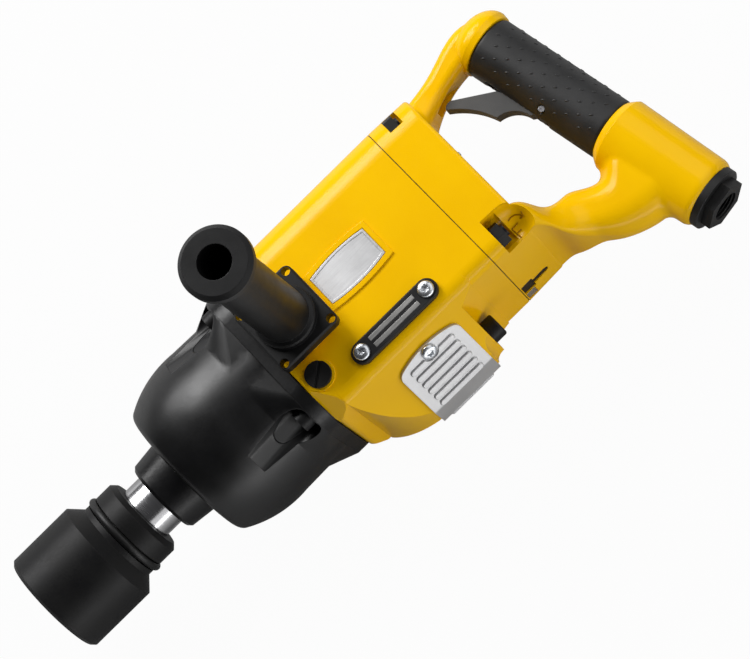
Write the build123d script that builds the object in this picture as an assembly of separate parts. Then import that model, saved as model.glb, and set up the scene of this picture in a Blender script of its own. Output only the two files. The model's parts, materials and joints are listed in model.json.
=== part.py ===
from build123d import *
from math import cos, hypot, radians, sin, sqrt, tan
import os

# A heavy straight impact nutrunner with a D-handle, a side handle and a socket.
# Sizes are in millimetres. X runs forwards along the drive axis, Y to the air inlet and
# Z out of the face that carries the side handle. Stations on X count from the joint of
# the clutch housing and the motor housing. The finished pieces are moved forwards or
# back as one, so that the origin is the centre of the socket's mouth.

# Fits, each per side
running_clearance = 0.05
slip_clearance = 0.1
free_gap = 0.4

# Motor housing, a square casting with a partition behind the clutch
body_half = 57.0
body_top_corner_r = 22.0
body_bottom_corner_r = 9.0
body_length = 127.5
body_front_round = 4.0
body_front_swell = 9.0
body_front_lean = 13.0
gasket_thickness = 0.5
gasket_inset = 0.4
motor_wall = 11.0
clutch_recess_wall = 13.0
clutch_recess_depth = 11.5
partition_thickness = 12.0
partition_bore_gap = 1.0

# Exhaust keel along the bottom of the motor housing
keel_drop = 26.0
keel_front_bow = 0.6
keel_bottom_half = 11.0
keel_shoulder_rise = 3.2
keel_shoulder_r = 10.0
keel_front_gap = 11.5
keel_front_run = 30.0
keel_flat_length = 48.2
keel_rear_r = 7.0
keel_rear_foot_drop = 4.0
keel_rear_foot_run = 13.0
keel_edge_r = 3.0
exhaust_wall = 5.0
exhaust_half = 20.0
exhaust_low_half = 8.4
exhaust_knee_drop = 3.0
exhaust_bore_share = 0.85
exhaust_length = 40.0
felt_gap = 2.0

# Exhaust deflector, a bent plate over the keel
deflector_thickness = 2.2
deflector_length = 46.0
deflector_top = 18.0
deflector_arch = 5.0
deflector_corner_r = 6.0
louvre_count = 6
louvre_pitch = 6.1
louvre_width = 4.2
louvre_height = 1.2
louvre_chamfer = 0.5
louvre_root = 0.5
louvre_from_screw = 4.0
louvre_end_margin = 6.0
louvre_screw_gap = 1.0
window_height = 20.0
window_margin = 6.0

# Vane motor
rotor_r = 32.0
rotor_bore_r = 35.0
rotor_gap = 0.1
rotor_end_gap = 0.15
rotor_shaft_r = 10.0
rotor_square = 13.0
vane_count = 6
vane_thickness = 2.5
vane_depth = 13.0
square_engagement = 12.0
end_plate_thickness = 13.0
exhaust_port_r = 5.0
exhaust_port_pitch = 14.0
shaft_seal_r = 19.0
shaft_seal_length = 8.0

# Ball bearings of the rotor
bearing_outer_r = 22.0
bearing_length = 11.0
bearing_ring = 3.5
ball_r = 3.4
ball_count = 7

# Two-jaw clutch
chamber_wall = 12.0
chamber_depth = 70.0
hammer_gap = 2.0
hammer_front = 46.0
hammer_length = 42.0
hammer_travel = 11.0
hammer_hub_r = 19.0
hammer_hub_setback = 2.0
hammer_rim = 7.5
recess_depth = 26.0
jaw_count = 2
jaw_length = 12.0
jaw_root = 1.0
jaw_relief = 1.0
jaw_angle = 50.0
jaw_hub_gap = 1.0
driver_r = 14.0
driver_pilot_r = 10.0
driver_pilot_length = 14.0
driver_pilot_end_gap = 1.0
driver_flange_clearance = 2.5
driver_flange_thickness = 4.0
driver_flange_gap = 2.0
cam_ball_r = 4.0
cam_ball_x = 20.0
hammer_wire_r = 2.8
hammer_spring_turns = 4.0

# Anvil with its bushing and seal
anvil_r = 18.0
lug_rear_gap = 2.0
lug_length = 18.0
lug_angle = 50.0
lug_root = 1.0
drive_square = 25.4
drive_square_length = 26.0
drive_chamfer = 2.0
anvil_neck_length = 13.4
bushing_wall = 4.0
bushing_flange_r = 30.0
bushing_flange_thickness = 3.0
nose_seal_length = 7.0
nose_seal_depth = 1.0

# Clutch housing and the rubber boot over it
flange_inset = 2.0
flange_corner_r = 26.0
flange_thickness = 8.0
bell_inset = 0.6
bell_flare = 0.9
bell_straight_end = 44.0
bell_front = 88.2
bell_edge_inset = 8.6
bell_edge_back = 3.2
bell_face_inset = 6.8
bell_bow = 3.0
bell_bow_lead = 1.2
bell_edge_bulge = 0.25
bell_edge_turn = (0.75, 0.45)
bell_wall_shares = (0.8, 0.85, 0.5)
boot_thickness = 3.0
boot_fairing_end = 26.0
boot_waist_inset = 1.0
boot_waist_flat = 0.5
nose_r = 26.5
nose_tip_r = 24.5
nose_length = 20.8
nose_shoulder = 1.0
nose_chamfer = 2.0

# Cap screws at the front, studs with nuts at the back
front_bolt_inset = 14.0
rear_bolt_inset = 11.0
bolt_r = 4.0
bolt_head_r = 6.5
bolt_head_height = 8.0
bolt_grip = 16.0
bolt_hole_end = 1.0
bolt_key = 6.0
bolt_key_depth = 4.0
nut_across = 13.0
nut_height = 6.5
stud_past_nut = 1.5
channel_r = 8.0
channel_width = 24.0
channel_tilt = 7.5
channel_length = 42.0

# Impact socket
socket_r = 35.0
socket_length = 76.6
socket_front_length = 45.3
socket_cone_length = 7.7
socket_collar_r = 27.0
socket_rear_chamfer = 3.0
socket_front_round = 2.0
socket_mouth_chamfer = 2.3
socket_mouth_r = 25.8
hex_across = 46.0
hex_depth = 42.0
square_play = 0.15
square_end_gap = 1.0
socket_through_r = 10.7
socket_through_past = 1.0
socket_ring_r = 26.5
socket_ring_wire_r = 2.4
socket_groove_play = 0.5
socket_ring_from_rear = 17.1
socket_pin_r = 2.4
socket_seat_gap = 0.2

# Rear cover with the D-handle
cover_length = 29.5
cover_taper = 2.0
cover_edge_r = 2.5
cover_wall = 11.0
cover_chamber_inset = 2.5
cover_boss_r = 24.0
cover_bolt_floor = 10.0
nut_pocket_r = 10.0
nut_pocket_gap = 1.5
scoop_r = 14.5
scoop_rise = 6.5
scoop_sink = 3.0
scoop_past_cover = 6.0
grip_slant = 10.0
grip_from_cover = 66.2
grip_middle_y = -12.2
sleeve_length = 94.0
sleeve_r = 19.5
sleeve_thickness = 3.0
sleeve_chamfer = 1.0
cap_r = 21.5
cap_length = 18.5
cap_rim = 1.0
cap_wall_share = 0.2
cap_flat = 10.0
inlet_boss_r = 23.4
inlet_boss_front_r = 22.0
inlet_boss_end_r = 19.8
inlet_boss_length = 70.5
inlet_boss_round = 5.0
air_bore_r = 4.0
core_overlap = 1.0
arm_boss_blend = 7.0
arm_cover_blend = 6.0
seam_gap = 0.05

# Air inlet
inlet_bore_r = 13.5
inlet_bore_depth = 34.0
inlet_spigot_length = 16.0
inlet_thread_r = 9.3
inlet_hex = 28.0
inlet_hex_length = 6.5
inlet_ring_r = 19.75
inlet_ring_thickness = 5.0
strainer_length = 14.0
strainer_wall = 1.0
strainer_hole_count = 6
strainer_hole_r = 1.5
strainer_hole_ring = 6.7

# Trigger and throttle, placed along the grip and forwards of its axis
pivot_along = 7.4
pivot_forward = 14.2
trigger_pin_r = 2.0
trigger_pin_sink = 0.2
trigger_eye_r = 4.3
trigger_half_width = 5.0
slot_floor = 8.7
slot_front_along = -34.0
slot_rear_along = 13.4
pocket_length = 22.0
pocket_depth = 18.0
pocket_from_cover = 20.0
pocket_floor = 10.4
stem_along = -14.6
stem_r = 3.0
stem_gap = 0.3
spool_r = 5.4
spool_half_length = 4.5
throttle_bore_floor = -12.5
throttle_bushing_length = 3.0
throttle_wire_r = 0.6
throttle_spring_turns = 4.0

# Trigger outline, counted from its pin: forwards, then along the grip
trigger_inner = (-3.6, -2.4)
trigger_root = (6.0, -6.0)
trigger_valley = (9.2, -15.8)
trigger_horn = (18.2, -22.0)
trigger_finger = (21.4, -34.8)
trigger_tip = (31.4, -50.6)
trigger_tip_round = (28.4, -52.2)
trigger_back = (24.0, -50.4)
trigger_heel = (5.4, -32.0)

# Roots of the two arms on the rear cover
upper_root_drop = 2.5
upper_end_rise = 7.6
lower_root_rise = 12.0
lower_root_inset = 2.5
lower_end_along = 27.0

# Small fittings on the rear cover
button_rise = 16.5
button_r = 4.0
button_out = 13.0
button_collar_r = 5.5
button_collar_thickness = 3.0
button_round = 1.2
nipple_y = -23.0
nipple_r = 1.6
nipple_height = 1.8
nipple_depth = 5.0
nipple_stem_r = 1.1
nipple_round = 0.8
nipple_hole_past = 1.0

# Moulded cover of the reversing valve and the bare plate beside it, on the bottom
valve_z = -28.5
valve_from_joint = 1.0
valve_length = 8.0
valve_width = 15.0
valve_depth = 6.0
valve_tail_length = 12.0
valve_tail_width = 7.0
valve_sink = 1.2
valve_gap = 0.3
valve_plate_length = 6.5
valve_plate_width = 10.5
valve_plate_depth = 1.5
valve_plate_sink = 0.6

# Side handle, square plate and grip tube
side_x = -21.5
side_boss_r = 21.0
side_boss_height = 8.0
side_boss_root = 2.0
side_plate_length = 44.0
side_plate_width = 47.0
side_plate_corner_r = 4.2
side_plate_thickness = 8.0
side_plate_chamfer = 1.2
side_hole_r = 2.75
side_hole_spacing_x = 36.7
side_hole_spacing_y = 39.5
side_base_r = 19.0
side_base_height = 5.0
side_base_chamfer = 1.0
side_base_root = 0.5
side_tube_r = 16.0
side_tube_length = 121.0
side_flange_r = 21.3
side_flange_length = 11.0
side_flange_flare = 3.5
side_flange_chamfer = 2.5
side_bore_r = 10.0
side_seat_height = 15.0
side_bolt_r = 6.0
side_bolt_head_r = 9.0
side_bolt_head_height = 12.0
side_bolt_depth = 14.0
side_bolt_end_gap = 1.0
side_bolt_key = 9.6
side_bolt_key_depth = 6.0
side_washer_thickness = 1.5

# Fittings on the near face of the motor housing
plug_x = -12.0
plug_y = 34.0
plug_r = 8.0
plug_head_height = 2.0
plug_thread_r = 6.0
plug_thread_length = 9.0
plug_slot_width = 2.0
plug_slot_floor = 0.8
plug_slot_turn = 40.0
plug_ring_r = 9.5
plug_ring_height = 0.8
plug_ring_root = 4.0
plug_seal_thickness = 0.8
rail_rise = 13.5
rail_x = -64.5
rail_screw_spacing = 51.0
rail_width = 13.6
rail_height = 4.0
rail_chamfer = 0.8
inlay_width = 3.0
inlay_height = 0.6
inlay_spacing = 5.0
inlay_end_gap = 8.0
screw_head_r = 5.0
screw_head_height = 2.6
screw_r = 2.5
screw_length = 9.0
screw_end_gap = 1.0
screw_rim_share = 0.45
screw_crown = (0.72, 0.86)
screw_flat_share = 0.3
plate_x = -67.0
plate_y = -1.0
plate_length = 42.0
plate_width = 24.0
plate_bulge = 2.0
plate_thickness = 0.9
plate_frame = 1.4
plate_recess = 0.3
plate_rim = 3.4
plate_rim_height = 1.0

# Bolt head on the back wall of the keel
keel_bolt_rise = 14.0
keel_bolt_head_r = 7.6
keel_bolt_head_height = 8.5
keel_bolt_r = 4.0
keel_bolt_length = 8.0
keel_bolt_round = 1.5
keel_bolt_end_gap = 1.0

# Radii and places that follow the square body
body_front_reach = body_half + body_front_swell
motor_bore_r = body_half - motor_wall
clutch_recess_r = body_half - clutch_recess_wall
chamber_r = body_half - chamber_wall
hammer_r = chamber_r - hammer_gap
hammer_recess_r = hammer_r - hammer_rim
driver_flange_r = hammer_recess_r - driver_flange_clearance
lug_r = hammer_r - jaw_relief
bell_r = body_half - bell_inset
bell_edge_r = bell_r - bell_edge_inset
bell_face_r = bell_edge_r - bell_face_inset
flange_half = body_half - flange_inset
front_bolt_spread = flange_half - front_bolt_inset
rear_bolt_spread = body_half - rear_bolt_inset
keel_depth = body_half + keel_drop
keel_shoulder_y = body_half - keel_shoulder_rise
keel_rear_foot_y = body_half + keel_rear_foot_drop
keel_bolt_y = keel_depth - keel_bolt_rise
exhaust_knee_y = body_half + exhaust_knee_drop
cover_chamber_r = motor_bore_r - cover_chamber_inset
scoop_y = body_half - scoop_rise
scoop_z = body_half - scoop_sink
upper_root_y = body_half - upper_root_drop
lower_root_y = body_half - lower_root_rise
lower_root_half = body_half - lower_root_inset
button_y = body_half - button_rise
rail_y = body_half - rail_rise

# Sections of the two arms: share of the way from the cover to the grip, distance from the
# straight line between their ends, half height, half width and corner radius
upper_arm_sections = [
    (-0.345, 6.9, 7.4, 17.0, 6.0),
    (-0.138, 2.3, 10.0, 18.0, 6.0),
    (0.07, -0.4, 9.2, 14.0, 6.0),
    (0.29, -2.2, 8.0, 12.0, 6.0),
    (0.55, -3.6, 8.4, 12.5, 6.0),
    (0.8, -3.2, 9.6, 14.0, 6.5),
    (1.0, 0.0, 9.6, 14.0, 6.5),
]
lower_arm_sections = [
    (-0.2, 4.3, 9.4, lower_root_half - 0.5, 9.0),
    (0.0, 1.6, 9.6, lower_root_half, 9.2),
    (0.066, 2.4, 9.8, lower_root_half - 5.5, 9.4),
    (0.115, 5.0, 10.0, lower_root_half - 13.5, 9.6),
    (0.18, 8.9, 11.6, 30.0, 11.0),
    (0.33, 10.3, 16.5, 19.5, 14.0),
    (0.506, 15.4, 19.2, 18.2, 17.0),
    (0.67, 15.2, 21.6, 18.4, 17.2),
    (0.73, 12.4, 24.4, 18.6, 17.4),
    (0.79, 9.4, 26.9, 18.8, 17.6),
    (0.9, 8.6, 26.9, 18.8, 17.6),
]

# Stations along the drive axis
housing_front = -gasket_thickness
housing_rear = housing_front - body_length
cover_front = housing_rear - gasket_thickness
cover_rear = cover_front - cover_length
partition_front = housing_front - clutch_recess_depth
partition_rear = partition_front - partition_thickness
cylinder_front = partition_rear - end_plate_thickness
cylinder_rear = housing_rear + end_plate_thickness
lug_rear = hammer_front + lug_rear_gap
lug_front = lug_rear + lug_length
nose_front = bell_front + nose_length
anvil_shoulder = nose_front + anvil_neck_length
socket_rear = anvil_shoulder + socket_seat_gap
socket_mouth = socket_rear + socket_length
keel_front = housing_front - keel_front_gap
keel_full_front = keel_front - keel_front_run
keel_full_rear = keel_full_front - keel_flat_length
keel_rear = keel_full_rear - keel_rear_r
deflector_x = (keel_full_front + keel_full_rear) / 2
driver_flange_rear = partition_front + driver_flange_gap
driver_flange_front = driver_flange_rear + driver_flange_thickness
hammer_rear = hammer_front - hammer_length
recess_floor = hammer_rear + recess_depth
pin_x = socket_rear + socket_ring_from_rear
chamber_floor = cover_rear + cover_wall
cover_bolt_seat = cover_front - cover_bolt_floor
grip_middle_x = cover_rear - grip_from_cover
valve_front = cover_front - valve_from_joint
valve_rear = valve_front - valve_length

# The grip's own frame: local x forwards, local z along the grip to the inlet
slant = radians(grip_slant)
grip_forward = Vector(cos(slant), sin(slant), 0)
grip_along = Vector(-sin(slant), cos(slant), 0)
grip_middle = Vector(grip_middle_x, grip_middle_y, 0)
grip_frame = Plane(origin=grip_middle, x_dir=grip_forward, z_dir=grip_along)
grip_side = Plane(origin=grip_middle, x_dir=grip_forward, z_dir=(0, 0, 1))
sleeve_half = sleeve_length / 2
core_r = sleeve_r - sleeve_thickness
boss_end = sleeve_half + inlet_boss_length

# The slanted side of the keel: across it, and square to it
flank_y = keel_depth - keel_shoulder_y
flank_z = body_half - keel_bottom_half
flank_length = hypot(flank_y, flank_z)
flank_down = (flank_y / flank_length, -flank_z / flank_length)
flank_out = (flank_z / flank_length, flank_y / flank_length)
corners = [(1, 1), (1, -1), (-1, 1), (-1, -1)]

# Other places and sizes that follow
chamber_low = keel_depth - exhaust_wall
felt_top = motor_bore_r + felt_gap
window_middle = (deflector_top + louvre_from_screw + flank_length) / 2
rail_screw_x = [rail_x - rail_screw_spacing / 2, rail_x + rail_screw_spacing / 2]
rail_top = body_half + rail_height
inlay_length = rail_screw_spacing - 2 * inlay_end_gap
eccentric = rotor_bore_r - rotor_r - rotor_gap
ball_track_r = ball_r + slip_clearance
side_low = body_half + side_boss_height
side_face = side_low + side_plate_thickness
side_seat = side_face + side_seat_height
side_top = side_face + side_base_height + side_tube_length + side_flange_length
heel_slope = (trigger_heel[0] - trigger_inner[0]) / (trigger_inner[1] - trigger_heel[1])
stem_reach = pivot_along + trigger_inner[1] - stem_along - stem_r
stem_tip_forward = pivot_forward + trigger_inner[0] + stem_reach * heel_slope - stem_gap

# Depth of the holes for the screws and studs, and the back of the pockets for the nuts
bolt_hole_depth = bolt_grip + bolt_hole_end
nut_pocket_rear = cover_bolt_seat - nut_height - stud_past_nut - nut_pocket_gap


def turned(*points):
    outline = make_face(Polyline(*points, close=True))
    return revolve(outline, Axis.X)


def turned_z(*points):
    outline = make_face(Plane.XZ * Polyline(*points, close=True))
    return revolve(outline, Axis.Z)


def rod(radius, start, end, y=0, z=0):
    return extrude(Plane.YZ.offset(start) * Pos(y, z) * Circle(radius), amount=end - start)


def ring(outer, inner, start, end):
    return rod(outer, start, end) - rod(inner, start, end)


def square_bar(half, corner, start, end):
    outline = RectangleRounded(2 * half, 2 * half, corner)
    return extrude(Plane.YZ.offset(start) * outline, amount=end - start)


def body_outline(inset):
    half = body_half - inset
    outline = Rectangle(2 * half, 2 * half)
    outline = fillet(outline.vertices().group_by(Axis.X)[0], body_top_corner_r - inset)
    return fillet(outline.vertices().group_by(Axis.X)[-1], body_bottom_corner_r - inset)


def upright(radius, low, high, x, y):
    return extrude(Plane.XY.offset(low) * Pos(x, y) * Circle(radius), amount=high - low)


def grip_rod(radius, start, end):
    return grip_frame * extrude(Plane.XY.offset(start) * Circle(radius), amount=end - start)


def cross_rod(radius, start, end, along):
    face = Plane.YZ.offset(start) * Pos(0, along) * Circle(radius)
    return grip_frame * extrude(face, amount=end - start)


def coil(radius, wire_r, start, length, turns):
    path = Helix(pitch=length / turns, height=length, radius=radius)
    section = Plane(origin=path @ 0, z_dir=path % 0) * Circle(wire_r)
    return Pos(0, 0, start) * sweep(section, path=path, is_frenet=True)


def sector(inner, outer, start, end, angle, middle):
    arms = Plane.YZ.offset(start)
    half = radians(angle / 2)
    reach = outer / cos(half)
    spread = reach * tan(half)
    wedge = make_face(Polyline((0, 0), (reach, -spread), (reach, spread), close=True))
    full = extrude(arms * Rot(0, 0, middle) * wedge, amount=end - start)
    return full & ring(outer, inner, start, end)


def cap_screw(y, z):
    head_end = flange_thickness + bolt_head_height
    screw = rod(bolt_head_r, flange_thickness, head_end, y, z)
    screw += rod(bolt_r, housing_front - bolt_grip, flange_thickness, y, z)
    key = Plane.YZ.offset(head_end) * Pos(y, z) * RegularPolygon(bolt_key / 2, 6, major_radius=False)
    return screw - extrude(key, amount=-bolt_key_depth)


def stud_nut(y, z):
    nut_end = cover_bolt_seat - nut_height
    nut = Plane.YZ.offset(nut_end) * Pos(y, z) * RegularPolygon(nut_across / 2, 6, major_radius=False)
    stud = rod(bolt_r, nut_end - stud_past_nut, housing_rear + bolt_grip, y, z)
    return stud + extrude(nut, amount=nut_height)


def pan_screw(length):
    rim = screw_head_height * screw_rim_share
    flat = screw_head_r * screw_flat_share
    crown = (screw_head_r * screw_crown[0], screw_head_height * screw_crown[1])
    dome = [
        Line((0, -length), (screw_r, -length)),
        Line((screw_r, -length), (screw_r, 0)),
        Line((screw_r, 0), (screw_head_r, 0)),
        Line((screw_head_r, 0), (screw_head_r, rim)),
        ThreePointArc((screw_head_r, rim), crown, (flat, screw_head_height)),
        Line((flat, screw_head_height), (0, screw_head_height)),
        Line((0, screw_head_height), (0, -length)),
    ]
    return revolve(make_face([Plane.XZ * edge for edge in dome]), Axis.Z)


def bell_outline(inset, hole):
    back, down, in_face = [inset * share for share in bell_wall_shares]
    straight = (bell_straight_end, bell_r - inset)
    edge = (bell_front - bell_edge_back - back, bell_edge_r - down)
    face = (bell_front - inset, bell_face_r - in_face)
    bow = ((straight[0] + edge[0]) / 2 + bell_bow_lead, (straight[1] + edge[1]) / 2 + bell_bow)
    turn = (
        edge[0] + (face[0] - edge[0]) * bell_edge_turn[0] + bell_edge_bulge,
        edge[1] + (face[1] - edge[1]) * bell_edge_turn[1] + bell_edge_bulge,
    )
    start = (flange_thickness, bell_r - bell_flare - inset)
    return make_face(
        [
            Line((flange_thickness, hole), start),
            Line(start, straight),
            ThreePointArc(straight, bow, edge),
            ThreePointArc(edge, turn, face),
            Line(face, (face[0], hole)),
            Line((face[0], hole), (flange_thickness, hole)),
        ]
    )


def bolt_channels():
    cutters = []
    tilt = radians(channel_tilt)
    for side_y, side_z in corners:
        outward = Vector(0, side_y, side_z).normalized()
        direction = Vector(cos(tilt), 0, 0) + outward * sin(tilt)
        bolt = Vector(flange_thickness, side_y * front_bolt_spread, side_z * front_bolt_spread)
        back = Plane(origin=bolt - direction * channel_r, x_dir=(0, -side_z, side_y), z_dir=direction)
        slot = back * SlotOverall(channel_width, 2 * channel_r)
        cutters.append(extrude(slot, amount=channel_length + channel_r))
    return cutters


def clutch_housing():
    shape = square_bar(flange_half, flange_corner_r, 0, flange_thickness)
    shape += revolve(bell_outline(boot_thickness, 0), Axis.X)
    base = bell_front - boot_thickness
    shape += turned(
        (base, 0),
        (base, nose_r),
        (bell_front + nose_shoulder, nose_r),
        (nose_front - nose_chamfer, nose_tip_r),
        (nose_front, nose_tip_r - nose_chamfer),
        (nose_front, 0),
    )
    shape -= rod(chamber_r, 0, chamber_depth)
    shape -= rod(anvil_r + bushing_wall, chamber_depth, nose_front)
    for cutter in bolt_channels():
        shape -= cutter & rod(2 * bell_r, flange_thickness, bell_front)
    for side_y, side_z in corners:
        shape -= rod(
            bolt_r + running_clearance,
            0,
            flange_thickness,
            side_y * front_bolt_spread,
            side_z * front_bolt_spread,
        )
    return shape


def nose_boot():
    shape = revolve(bell_outline(0, 0), Axis.X)
    flange = RectangleRounded(2 * flange_half, 2 * flange_half, flange_corner_r)
    near = Plane.YZ.offset(flange_thickness) * flange
    waist = bell_r - boot_waist_inset
    far = Plane.YZ.offset(boot_fairing_end) * RectangleRounded(2 * waist, 2 * waist, waist - boot_waist_flat)
    shape += loft([near.face(), far.face()])
    shape -= revolve(bell_outline(boot_thickness - running_clearance, 0), Axis.X)
    shape -= rod(nose_r + running_clearance, flange_thickness, bell_front)
    for cutter in bolt_channels():
        shape -= cutter
    return shape


def front_gasket():
    shape = extrude(Plane.YZ.offset(housing_front) * body_outline(body_front_round), amount=gasket_thickness)
    shape &= rod(body_front_reach, housing_front, 0)
    shape -= rod(chamber_r, housing_front, 0)
    for side_y, side_z in corners:
        shape -= rod(
            bolt_r + slip_clearance, housing_front, 0, side_y * front_bolt_spread, side_z * front_bolt_spread
        )
    return shape


def anvil():
    shape = rod(anvil_r, lug_rear, anvil_shoulder)
    for k in range(jaw_count):
        middle = k * 360 / jaw_count
        shape += sector(anvil_r - lug_root, lug_r, lug_rear, lug_front, lug_angle, middle)
    tip = Plane.YZ.offset(anvil_shoulder) * Rectangle(drive_square, drive_square)
    square = extrude(tip, amount=drive_square_length)
    square = chamfer(square.faces().sort_by(Axis.X)[-1].edges(), drive_chamfer)
    shape += square
    pilot_floor = lug_rear + driver_pilot_length + driver_pilot_end_gap
    shape -= rod(driver_pilot_r + running_clearance, lug_rear, pilot_floor)
    shape -= upright(socket_pin_r + running_clearance, -socket_r, socket_r, pin_x, 0)
    return shape


def anvil_bushing():
    outer = anvil_r + bushing_wall - running_clearance
    front = nose_front - nose_seal_length - slip_clearance
    shape = ring(outer, anvil_r + running_clearance, chamber_depth, front)
    flange_rear = chamber_depth - bushing_flange_thickness
    shape += ring(bushing_flange_r, anvil_r + running_clearance, flange_rear, chamber_depth)
    return shape


def nose_seal():
    outer = anvil_r + bushing_wall - running_clearance
    front = nose_front - nose_seal_depth
    return ring(outer, anvil_r + running_clearance, nose_front - nose_seal_length, front)


def hammer():
    bore = driver_r + running_clearance
    shape = ring(hammer_r, bore, hammer_rear, hammer_front)
    shape -= ring(hammer_recess_r, hammer_hub_r, hammer_rear, recess_floor)
    shape -= rod(hammer_recess_r, hammer_rear, hammer_rear + hammer_hub_setback)
    jaw_start = hammer_front - jaw_root
    jaw_end = hammer_front + jaw_length
    for k in range(jaw_count):
        # The jaws stand midway between the lugs of the anvil.
        middle = (k + 0.5) * 360 / jaw_count
        shape += sector(anvil_r + jaw_hub_gap, lug_r, jaw_start, jaw_end, jaw_angle, middle)
    groove_start = cam_ball_x - cam_ball_r - slip_clearance
    groove_end = cam_ball_x + hammer_travel + cam_ball_r + slip_clearance
    for side in (1, -1):
        shape -= rod(cam_ball_r + slip_clearance, groove_start, groove_end, 0, side * driver_r)
    return shape


def hammer_driver():
    shape = rod(driver_flange_r, driver_flange_rear, driver_flange_front)
    shape += rod(driver_r, driver_flange_front, hammer_front)
    shape += rod(driver_pilot_r, hammer_front, lug_rear + driver_pilot_length)
    side = rotor_square + 2 * slip_clearance
    socket = Plane.YZ.offset(driver_flange_rear) * Rectangle(side, side)
    shape -= extrude(socket, amount=square_engagement + slip_clearance)
    for side_z in (1, -1):
        shape -= rod(
            cam_ball_r + slip_clearance,
            cam_ball_x - cam_ball_r - slip_clearance,
            cam_ball_x + cam_ball_r + slip_clearance,
            0,
            side_z * driver_r,
        )
    return shape


def cam_balls():
    return [Pos(cam_ball_x, 0, side * driver_r) * Sphere(cam_ball_r) for side in (1, -1)]


def hammer_spring():
    start = driver_flange_front + hammer_wire_r + slip_clearance
    end = recess_floor - hammer_wire_r - slip_clearance
    radius = (hammer_hub_r + hammer_recess_r) / 2
    return Plane.YZ * coil(radius, hammer_wire_r, start, end - start, hammer_spring_turns)


def impact_socket():
    shoulder = socket_mouth - socket_front_length
    neck = shoulder - socket_cone_length
    shape = turned(
        (socket_rear, 0),
        (socket_rear, socket_collar_r - socket_rear_chamfer),
        (socket_rear + socket_rear_chamfer, socket_collar_r),
        (neck, socket_collar_r),
        (shoulder, socket_r),
        (socket_mouth - socket_front_round, socket_r),
        (socket_mouth, socket_r - socket_front_round),
        (socket_mouth, 0),
    )
    hexagon = RegularPolygon(hex_across / 2, 6, major_radius=False)
    shape -= extrude(Plane.YZ.offset(socket_mouth - hex_depth) * hexagon, amount=hex_depth)
    shape -= turned(
        (socket_mouth - socket_mouth_chamfer, 0),
        (socket_mouth - socket_mouth_chamfer, hex_across / 2),
        (socket_mouth, socket_mouth_r),
        (socket_mouth, 0),
    )
    side = drive_square + 2 * square_play
    square = Plane.YZ.offset(socket_rear) * Rectangle(side, side)
    shape -= extrude(square, amount=drive_square_length + square_end_gap)
    shape -= rod(socket_through_r, socket_rear, socket_mouth - hex_depth + socket_through_past)
    floor = socket_ring_r - socket_ring_wire_r - slip_clearance
    groove = socket_ring_wire_r + slip_clearance + socket_groove_play
    shape -= ring(socket_r, floor, pin_x - groove, pin_x + groove)
    shape -= upright(socket_pin_r + running_clearance, -socket_r, socket_r, pin_x, 0)
    return shape


def socket_retaining_ring():
    return Pos(pin_x, 0, 0) * Rot(0, 90, 0) * Torus(socket_ring_r, socket_ring_wire_r)


def socket_pin():
    half = socket_ring_r - socket_ring_wire_r - 2 * slip_clearance
    return upright(socket_pin_r, -half, half, pin_x, 0)


def keel_body():
    section = make_face(
        Polyline(
            (0, -body_half),
            (keel_shoulder_y, -body_half),
            (keel_depth, -keel_bottom_half),
            (keel_depth, keel_bottom_half),
            (keel_shoulder_y, body_half),
            (0, body_half),
            close=True,
        )
    )
    start = keel_rear - 2 * keel_rear_foot_run
    bar = extrude(Plane.YZ.offset(start) * section, amount=housing_front - start)
    long_edges = bar.edges().filter_by(Axis.X).sort_by(Axis.Y)
    bar = fillet(long_edges[-2:], keel_edge_r)
    shoulders = bar.edges().filter_by(Axis.X).sort_by(lambda edge: abs(edge.center().Y - keel_shoulder_y))
    bar = fillet(shoulders[:2], keel_shoulder_r)
    front_foot = (keel_front, body_half)
    front_top = (keel_full_front, keel_depth)
    front_bow = (
        keel_full_front + keel_front_bow * keel_front_run,
        body_half + keel_front_bow * (keel_depth - body_half),
    )
    rear_top = (keel_full_rear, keel_depth)
    rear_wall = (keel_rear, keel_depth - keel_rear_r)
    rear_step = (keel_rear, keel_rear_foot_y)
    rear_foot = (keel_rear - keel_rear_foot_run, body_half)
    side = make_face(
        [
            Line((keel_front, 0), front_foot),
            ThreePointArc(front_foot, front_bow, front_top),
            Line(front_top, rear_top),
            RadiusArc(rear_top, rear_wall, keel_rear_r),
            Line(rear_wall, rear_step),
            Line(rear_step, rear_foot),
            Line(rear_foot, (rear_foot[0], 0)),
            Line((rear_foot[0], 0), (keel_front, 0)),
        ]
    )
    return bar & extrude(Plane.XY.offset(-2 * body_half) * side, amount=4 * body_half)


def exhaust_block(top, margin):
    length = exhaust_length - 2 * margin
    half = exhaust_half - margin
    low_half = exhaust_low_half - margin
    knee = exhaust_knee_y
    section = make_face(
        Polyline(
            (top, -half),
            (knee, -half),
            (chamber_low - margin, -low_half),
            (chamber_low - margin, low_half),
            (knee, half),
            (top, half),
            close=True,
        )
    )
    return extrude(Plane.YZ.offset(deflector_x - length / 2) * section, amount=length)


def flank_plane(side, down, lift=0):
    y = keel_shoulder_y + flank_down[0] * down + flank_out[0] * lift
    z = body_half + flank_down[1] * down + flank_out[1] * lift
    return Plane(
        origin=(deflector_x, y, side * z), x_dir=(1, 0, 0), z_dir=(0, flank_out[0], side * flank_out[1])
    )


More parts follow.
